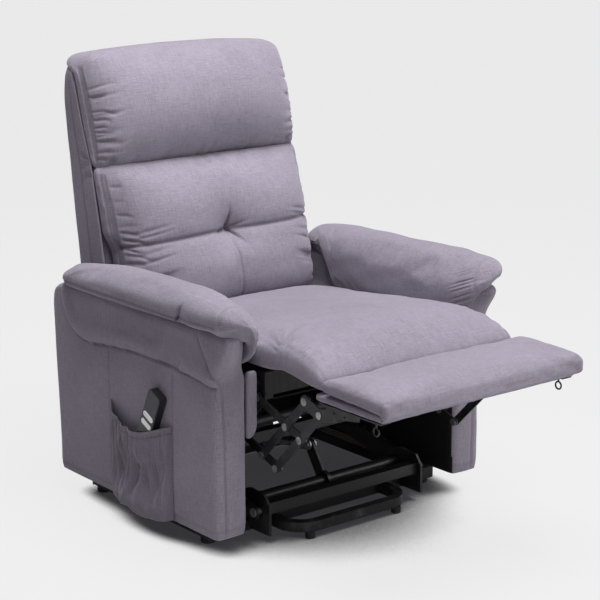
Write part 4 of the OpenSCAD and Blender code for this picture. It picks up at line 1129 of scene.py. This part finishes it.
def make_pocket():
    rim = curve1([-0.160, -0.136, -0.089, -0.043, 0.013, 0.052, 0.078], [0.268, 0.259, 0.242, 0.231, 0.235, 0.254, 0.274])
    nu, nv = 92, 74
    U, V = np.meshgrid(np.linspace(0, 1, nu), np.linspace(0, 1, nv), indexing="ij")
    U, V = U.ravel(), V.ravel()
    y = 0.076 - 0.234 * U
    z0, z1 = 0.060, rim(y)
    sag = 0.018 * bump(y + 0.055, 0.065) + 0.006 * bump(y + 0.125, 0.03) + 0.004 * bump(y - 0.03, 0.02)
    z = z0 - sag + (z1 - z0 + sag) * V
    lift = np.clip(np.sin(np.clip(U, 0, 1) * math.pi), 0, 1) ** 0.42
    # the bag stands out at the rim round the handset and again near its foot
    hc = -0.123 + (0.334 - z) * math.tan(math.radians(25))
    near = bump(y - hc, 0.044) * smooth(z, 0.155, 0.195)
    off = 0.0035 + lift * (0.0185 * smooth(V, 0.15, 0.9) + 0.0200 * bump(V - 0.16, 0.22))
    # hanging folds from the rim down
    folds = np.zeros(len(y))
    for c, w, dd, lean in ((0.052, 0.0085, 0.9, 0.10), (0.030, 0.0080, 1.0, 0.10), (0.010, 0.0085, 0.9, 0.05), (-0.012, 0.010, 1.0, -0.04), (-0.040, 0.013, 1.0, -0.12), (-0.078, 0.013, 0.8, 0.04), (-0.108, 0.012, 1.0, 0.00), (-0.134, 0.009, 0.8, -0.05)):
        cc = c + lean * (z - 0.16) + 0.004 * np.sin(z * 60 + c * 90)
        folds += dd * bump(y - cc, w) * smooth(V, 0.02, 0.3)
    off = off - 0.0110 * folds * lift * (1 - near) + 0.0040 * lift
    big = bump(y + 0.010 + 0.42 * (z - 0.10), 0.011) * smooth(V, 0.85, 0.3)
    off = off + 0.0075 * big
    lim = 0.0225 * near
    off = 0.5 * (off + lim + np.sqrt((off - lim) ** 2 + 0.003**2))
    off = np.clip(off, 0.0025, 0.0330)
    hug = np.minimum(smooth(U, 0.0, 0.07), smooth(U, 1.0, 0.93))
    off = 0.0008 + (off - 0.0008) * hug
    # stay outside the handset where it stands in the bag
    hc = -0.123 + (0.334 - z) * math.tan(math.radians(25))
    near = bump(y - hc, 0.036) * smooth(z, 0.165, 0.195)
    off = np.maximum(off, 0.0235 * near)
    co = np.stack([-0.378 - off, y, z], 1)
    quads = []
    for i in range(nu - 1):
        for j in range(nv - 1):
            quads.append([i * nv + j, i * nv + j + 1, (i + 1) * nv + j + 1, (i + 1) * nv + j])
    o = obj_from("side_pocket", co, quads)
    put_attr(o, "pv", V), put_attr(o, "pu", U)
    subdivide(o)
    V, U = get_attr(o, "pv"), get_attr(o, "pu")
    n, co = normals(o), co_of(o)
    if n[:, 0].mean() > 0:
        o.data.flip_normals()
        n = -n
    hem = bump(V - 0.93, 0.008)
    edge = np.maximum(bump(U, 0.02), bump(U - 1, 0.02))
    yy = co[:, 1]
    fine = creases(yy + 0.10 * (co[:, 2] - 0.2), 74, 0.0085, (-0.150, 0.070), 0.0018) * smooth(V, 0.50, 0.80) * smooth(V, 0.99, 0.93)
    dis = -0.0009 * hem + 0.0012 * smooth(V, 0.95, 0.99) + 0.0008 * wave_noise(co, 12, 73) - 0.0018 * fine
    set_co(o, co + n * dis[:, None])
    # painted shade over the whole pocket, deeper along the rim, the side edges and the fine gathers
    put_painted_shade(o, 0.4 * hem + 0.4 * edge + 0.35 * fine + 0.55)
    solidify(o, 0.0016, 1.0)
    return o


# ---------------------------------------------------------------- outer back


def make_back_cover():
    W, Z0, Z1 = 0.2895, 0.044, 0.6905
    q, u, quads = soft_box((2 * W, 0.11, Z1 - Z0), (0.030, 0.024, 0.030), (0.010, 0.0085, 0.0095))
    front_face = u[:, 1] < -0.999
    bottom = u[:, 2] < -0.999
    keep = [f for f in quads if not all(front_face[i] for i in f) and not all(bottom[i] for i in f)]
    x, d, t = q[:, 0] * W, (q[:, 1] + 1) / 2, (q[:, 2] + 1) / 2
    t0 = (u[:, 2] + 1) / 2
    d0 = (u[:, 1] + 1) / 2
    d = np.where((d0 < 0.45) & (t0 < 0.93), d0, d)
    x = np.where((d0 < 0.45) & (np.abs(u[:, 0]) > 0.999) & (t0 < 0.93), np.sign(x) * W, x)
    t = np.where(t0 < 0.3, t0, t)
    x = np.where((t0 < 0.15) & (np.abs(u[:, 0]) > 0.999) & (d0 < 0.6), np.sign(x) * W, x)
    ax = np.abs(x) / W
    top = Z1 - 0.012 * ax**2 - 0.018 * np.clip((ax - 0.84) / 0.16, 0, 1) ** 2
    z = Z0 + (top - Z0) * t
    fr = gap_line(z) + 0.002
    re = rear_line(z) + 0.004 * (1 - ax**2) - 0.010 * smooth(t, 0.85, 1.0)
    y = fr + (re - fr) * d
    o = obj_from("outer_back_cover", back_to_row(x, y, z), keep)
    put_attr(o, "px", x), put_attr(o, "pd", d), put_attr(o, "pz", z)
    subdivide(o)
    x, d, z = get_attr(o, "px"), get_attr(o, "pd"), get_attr(o, "pz")
    n, co = normals(o), co_of(o)
    side = smooth(np.abs(n[:, 0]), 0.5, 0.9)
    rearf = smooth(n[:, 1], 0.5, 0.9)
    dis = 0.0016 * wave_noise(co, 4.0, 83) * (side + rearf)
    s1 = side * bump(d - 0.42, 0.028)
    s2 = side * bump(d - 0.90, 0.030)
    dis -= 0.0018 * s1 + 0.0014 * s2
    # slack creases in the side band, near the cushions' crease
    for zc, dd, ang in ((0.452, 1.0, 0.3), (0.430, 0.8, -0.2), (0.408, 0.7, 0.15), (0.40, 0.5, -0.5)):
        dis -= 0.0028 * side * dd * bump(z - zc - ang * (d - 0.25) * 0.1, 0.005) * smooth(d, 0.55, 0.15)
    panel = rearf * (bump(np.abs(x) - 0.232, 0.0032))
    yoke = rearf * bump(z - 0.470, 0.0032) * (np.abs(x) < 0.232)
    zipper = rearf * bump(z - 0.085, 0.0035)
    dis -= 0.0022 * (panel + yoke) + 0.0012 * zipper
    dis += rearf * 0.003 * np.clip(1 - (np.abs(x) / 0.232) ** 4, 0, 1) * smooth(np.abs(z - 0.470), 0.0, 0.05)
    set_co(o, co + n * dis[:, None])
    # painted shade in the side seams, the panel and yoke seams and along the zip
    put_painted_shade(o, 0.7 * s1 + 0.6 * s2 + 0.8 * panel + 0.8 * yoke + 0.4 * zipper)
    m = o.modifiers.new("solid", "SOLIDIFY")
    m.thickness, m.offset = 0.004, -1.0
    apply_mods(o)
    return o


def make_back_lining():
    """Deck cloth stretched over the back frame, behind the two cushions."""
    nu, nv = 64, 70
    U, V = np.meshgrid(np.linspace(-1, 1, nu), np.linspace(0, 1, nv), indexing="ij")
    U, V = U.ravel(), V.ravel()
    z = 0.048 + 0.600 * V
    x = U * 0.2835
    y = gap_line(z) + 0.0035 + 0.010 * np.clip((np.abs(U) - 0.90) / 0.10, 0, 1) ** 2 + 0.0008 * wave_noise(np.stack([x, z], 1), 9, 111)
    quads = [[i * nv + j, (i + 1) * nv + j, (i + 1) * nv + j + 1, i * nv + j + 1] for i in range(nu - 1) for j in range(nv - 1)]
    o = obj_from("back_deck_cloth", back_to_row(x, y, z), quads)
    if normals(o)[:, 1].mean() > 0:
        o.data.flip_normals()
    # painted shade over the whole deck cloth, which lies in the gap behind the cushions
    put_painted_shade(o, 0 * x + 0.6)
    solidify(o, 0.0012, -1.0)
    paint(o, "fabric")
    return o


# ---------------------------------------------------------------- small fabric-covered boards


def make_board():
    q, u, quads = soft_box((0.534, 0.208, 0.0185), (0.006, 0.006, 0.006), (0.012, 0.010, 0.0045))
    x, y, z = q[:, 0] * 0.2675, -0.5965 + q[:, 1] * 0.1035, 0.3902 + q[:, 2] * 0.0088
    o = obj_from("leg_rest_board_cover", np.stack([x, y, z], 1), quads)
    subdivide(o)
    co, n = co_of(o), normals(o)
    staple = bump(np.abs(co[:, 0]) - 0.250, 0.002) * (n[:, 2] < -0.5)
    set_co(o, co + n * (0.0006 * wave_noise(co, 12, 91))[:, None])
    # painted shade along the staple lines underneath
    put_painted_shade(o, 0.3 * staple)
    paint(o, "fabric", "lining")
    me = o.data
    nl = np.zeros(len(me.polygons) * 3, np.float32)
    me.polygons.foreach_get("normal", nl)
    ct = np.zeros(len(me.polygons) * 3, np.float32)
    me.polygons.foreach_get("center", ct)
    nl, ct = nl.reshape(-1, 3), ct.reshape(-1, 3)
    under = (nl[:, 2] < -0.8) & (np.abs(ct[:, 0]) < 0.245)
    me.polygons.foreach_set("material_index", under.astype(np.int32))
    return o


def make_wing():
    q, u, quads = soft_box((0.026, 0.014, 0.150), (0.006, 0.006, 0.007), (0.0035, 0.003, 0.006))
    x, y, z = 0.2805 + q[:, 0] * 0.0125, -0.301 + q[:, 1] * 0.0070, 0.330 + q[:, 2] * 0.072
    # one rounded corner, low on the side that faces the mechanism
    cx, cz, r = 0.268 + 0.020, 0.258 + 0.028, np.array([0.020, 0.028])
    inside = (x < cx) & (z < cz)
    dx, dz = (x - cx) / r[0], (z - cz) / r[1]
    ln = np.maximum(np.hypot(dx, dz), 1e-6)
    far = np.maximum(np.abs(dx), np.abs(dz))
    x = np.where(inside, cx + dx / ln * far * r[0], x)
    z = np.where(inside, cz + dz / ln * far * r[1], z)
    o = obj_from("left_front_wing", np.stack([x, y, z], 1), quads)
    subdivide(o)
    co, n = co_of(o), normals(o)
    set_co(o, co + n * (0.0010 * wave_noise(co, 10, 95) + 0.0008)[:, None])
    put_painted_shade(o, 0 * co[:, 0])
    return o


def make_skirt():
    nu, nv = 120, 46
    U, V = np.meshgrid(np.linspace(-1, 1, nu), np.linspace(0, 1, nv), indexing="ij")
    U, V = U.ravel(), V.ravel()
    z = 0.060 + 0.312 * V
    x = U * np.interp(z, [0.06, 0.27, 0.32, 0.372], [0.3025, 0.3015, 0.282, 0.276])
    y = np.interp(z, [0.06, 0.25, 0.33, 0.372], [0.2880, 0.2885, 0.3020, 0.3055])
    y = y + 0.0016 * wave_noise(np.stack([x, z], 1), 5, 101)
    hang = bump(x - 0.13, 0.02) + bump(x + 0.16, 0.025) + 0.7 * bump(x + 0.02, 0.02)
    y = y + 0.0015 * hang * (1 - V)
    co = np.stack([x, y, z], 1)
    quads = [[i * nv + j, (i + 1) * nv + j, (i + 1) * nv + j + 1, i * nv + j + 1] for i in range(nu - 1) for j in range(nv - 1)]
    o = obj_from("rear_skirt", co, quads)
    hem = bump(z - 0.078, 0.003)
    # painted shade along the hem
    put_painted_shade(o, 0.6 * hem)
    if normals(o)[:, 1].mean() < 0:
        o.data.flip_normals()
    solidify(o, 0.0018, -1.0)
    paint(o, "fabric", "lining")
    me = o.data
    nl = np.zeros(len(me.polygons) * 3, np.float32)
    me.polygons.foreach_get("normal", nl)
    me.polygons.foreach_set("material_index", (nl.reshape(-1, 3)[:, 1] < -0.3).astype(np.int32))
    return o


def tube(name, pts, r, sides=14):
    """A round flexible lead along a smooth line."""
    p = smooth_line(pts, 90)
    t = np.gradient(p, axis=0)
    t /= np.linalg.norm(t, axis=1, keepdims=True)
    ref = np.array([1.0, 0.1, 0.05])
    a = np.cross(t, ref)
    a /= np.linalg.norm(a, axis=1, keepdims=True)
    b = np.cross(t, a)
    ang = np.linspace(0, 2 * math.pi, sides, endpoint=False)
    rings = p[:, None, :] + r * (np.cos(ang)[None, :, None] * a[:, None, :] + np.sin(ang)[None, :, None] * b[:, None, :])
    m = len(p)
    quads = [[i * sides + j, i * sides + (j + 1) % sides, (i + 1) * sides + (j + 1) % sides, (i + 1) * sides + j] for i in range(m - 1) for j in range(sides)]
    quads.append(list(range(sides))[::-1])
    quads.append([(m - 1) * sides + j for j in range(sides)])
    o = obj_from(name, rings.reshape(-1, 3), quads)
    return o


# ---------------------------------------------------------------- build

pieces = []


def finish_soft(o, body=None, nodes=(), mat="fabric"):
    if not len(o.data.materials):
        paint(o, mat)
    co = co_of(o)
    co[:, 1] += DY
    set_co(o, co)
    box_uv(o)
    if nodes:
        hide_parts(*nodes)
    if body:
        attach(o, body)
    pieces.append(o)
    return o


finish_soft(make_head(), "backrest", ["headrest_cushion"])
finish_soft(make_lumbar(), "backrest", ["lumbar_cushion"])
finish_soft(make_back_cover(), "backrest", ["back_shell"])
finish_soft(make_back_lining(), "backrest", [])
seat = finish_soft(make_seat(), None, ["seat_cushion", "chaise_pad"])
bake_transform(seat)
finish_soft(make_leg_pad(), "footrest", ["footrest_cushion"])
finish_soft(make_board(), "footrest", ["footrest_board"])
pad = make_arm_pad()
pad_r = mirrored(pad, "right_arm_pillow")
finish_soft(pad, "chassis", ["left_arm_pad"])
finish_soft(pad_r, "chassis", ["right_arm_pad"])
cover = make_arm_cover()
cover_r = mirrored(cover, "right_arm_upholstery")
finish_soft(cover, "chassis", ["left_arm_cover"])
finish_soft(cover_r, "chassis", ["right_arm_cover"])
finish_soft(make_pocket(), "chassis", ["handset_pocket"])
wing = make_wing()
wing_r = mirrored(wing, "right_front_wing")
finish_soft(wing, "chassis", ["front_wing_panels"])
finish_soft(wing_r, "chassis", ["front_wing_panels"])
skirt = finish_soft(make_skirt(), None, ["rear_valance"])
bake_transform(skirt)

hb_y, hb_z = -0.123 + 0.1506 * math.sin(math.radians(25)), 0.334 - 0.1506 * math.cos(math.radians(25))
cord = tube("handset_lead", [(-0.3897, hb_y - 0.004, hb_z + 0.010), (-0.3897, hb_y + 0.005, hb_z - 0.010), (-0.3890, hb_y + 0.018, hb_z - 0.034), (-0.3890, hb_y + 0.004, hb_z - 0.058), (-0.380, hb_y + 0.002, hb_z - 0.066), (-0.362, hb_y + 0.004, hb_z - 0.062)], 0.0024)
paint(cord, "rubber")
co = co_of(cord)
co[:, 1] += DY
set_co(cord, co)
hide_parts("handset_cord")
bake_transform(cord)

# ---------------------------------------------------------------- studio

def studio():
    s = []
    n, half = 60, 9.0
    ys = np.r_[np.linspace(-60, 3.6, 30), 3.6 + 2.4 * np.sin(np.linspace(0, math.pi / 2, 24))[1:], [6.0] * 6]
    zs = np.r_[np.zeros(30), 2.4 - 2.4 * np.cos(np.linspace(0, math.pi / 2, 24))[1:], np.linspace(2.6, 9, 6)]
    co, quads = [], []
    for y, z in zip(ys, zs):
        co += [(-50.0, y, z), (50.0, y, z)]
    for i in range(len(ys) - 1):
        quads.append([2 * i, 2 * i + 1, 2 * i + 3, 2 * i + 2])
    o = obj_from("backdrop", np.array(co), quads)
    # turn it so the curve lies behind the chair as the camera sees it
    a = math.radians(-38.787)
    o.rotation_euler = (0, 0, a)
    o.location = (0, DY, 0)
    k = Nodes("backdrop_paper")
    xyz = k.new("ShaderNodeTexCoord").outputs["Object"]
    fine = k.noise(k.stretch(xyz, 3, 3, 3), 1.0, 3)
    k.link(k.mix(fine, (0.58, 0.58, 0.58), (0.61, 0.61, 0.61)), k.b.inputs["Base Color"])
    k.b.inputs["Roughness"].default_value = 0.95
    k.b.inputs["Specular IOR Level"].default_value = 0.1
    # painted shadow: the floor's emitted colour falls to near black where the chair occludes it, under and round the
    # chair
    ao = k.new("ShaderNodeAmbientOcclusion", samples=32)
    ao.inputs["Distance"].default_value = 0.60
    shade = k.math("MULTIPLY", k.math("SUBTRACT", ao.outputs["AO"], 0.23), 4.4, clamp=True)
    em = k.new("ShaderNodeEmission")
    k.link(k.mix(shade, (0.035, 0.035, 0.038), (0.872, 0.872, 0.872)), em.inputs["Color"])
    em.inputs["Strength"].default_value = 1.0
    mx = k.new("ShaderNodeMixShader")
    # the paper reads bright to the camera and throws little light back up under the chair
    lp = k.new("ShaderNodeLightPath")
    k.link(k.math("ADD", 0.02, k.math("MULTIPLY", lp.outputs["Is Camera Ray"], 0.90)), mx.inputs[0])
    k.link(k.b.outputs[0], mx.inputs[1])
    k.link(em.outputs[0], mx.inputs[2])
    k.link(mx.outputs[0], k.out.inputs[0])
    o.data.materials.append(k.m)


studio()


def area(name, loc, target, size, power, colour=(1, 1, 1)):
    li = bpy.data.lights.new(name, "AREA")
    li.shape = "RECTANGLE"
    li.size, li.size_y = size
    li.energy = power
    li.color = colour
    o = bpy.data.objects.new(name, li)
    scene.collection.objects.link(o)
    o.location = loc
    o.rotation_mode = "QUATERNION"
    o.rotation_quaternion = (Vector(target) - Vector(loc)).to_track_quat("-Z", "Y")
    return o


area("top_soft", (-0.05, DY - 0.6, 3.3), (0, DY, 0.4), (2.0, 2.0), 140)
area("key_front_right", (2.2, DY - 2.9, 2.3), (0, DY - 0.1, 0.5), (1.8, 1.8), 40, (1.0, 0.99, 0.98))
area("fill_left", (-3.4, DY - 2.2, 1.6), (0, DY, 0.5), (2.0, 2.0), 9, (1.0, 0.93, 0.99))
area("front_low", (0.5, DY - 3.4, 0.75), (0, DY, 0.42), (2.6, 0.9), 19)
area("rim_back", (0.6, DY + 2.8, 2.4), (0, DY, 0.7), (2.4, 1.2), 18)
world = bpy.data.worlds.new("studio")
scene.world = world
world.use_nodes = True
bg = world.node_tree.nodes["Background"]
bg.inputs[0].default_value = (0.93, 0.85, 0.92, 1)
bg.inputs[1].default_value = 0.11

cam_data = bpy.data.cameras.new("camera")
cam = bpy.data.objects.new("camera", cam_data)
scene.collection.objects.link(cam)
cam_data.sensor_width = 36.0
cam_data.lens = 36.0 * 1818.8 / 600.0
cam.location = (-2.460, -3.1766 + DY, 1.4459)
az, el = math.radians(38.787), math.radians(13.896)
fwd = Vector((math.sin(az) * math.cos(el), math.cos(az) * math.cos(el), -math.sin(el)))
cam.rotation_mode = "QUATERNION"
cam.rotation_quaternion = fwd.to_track_quat("-Z", "Y")
scene.camera = cam
scene.view_settings.view_transform = "Standard"
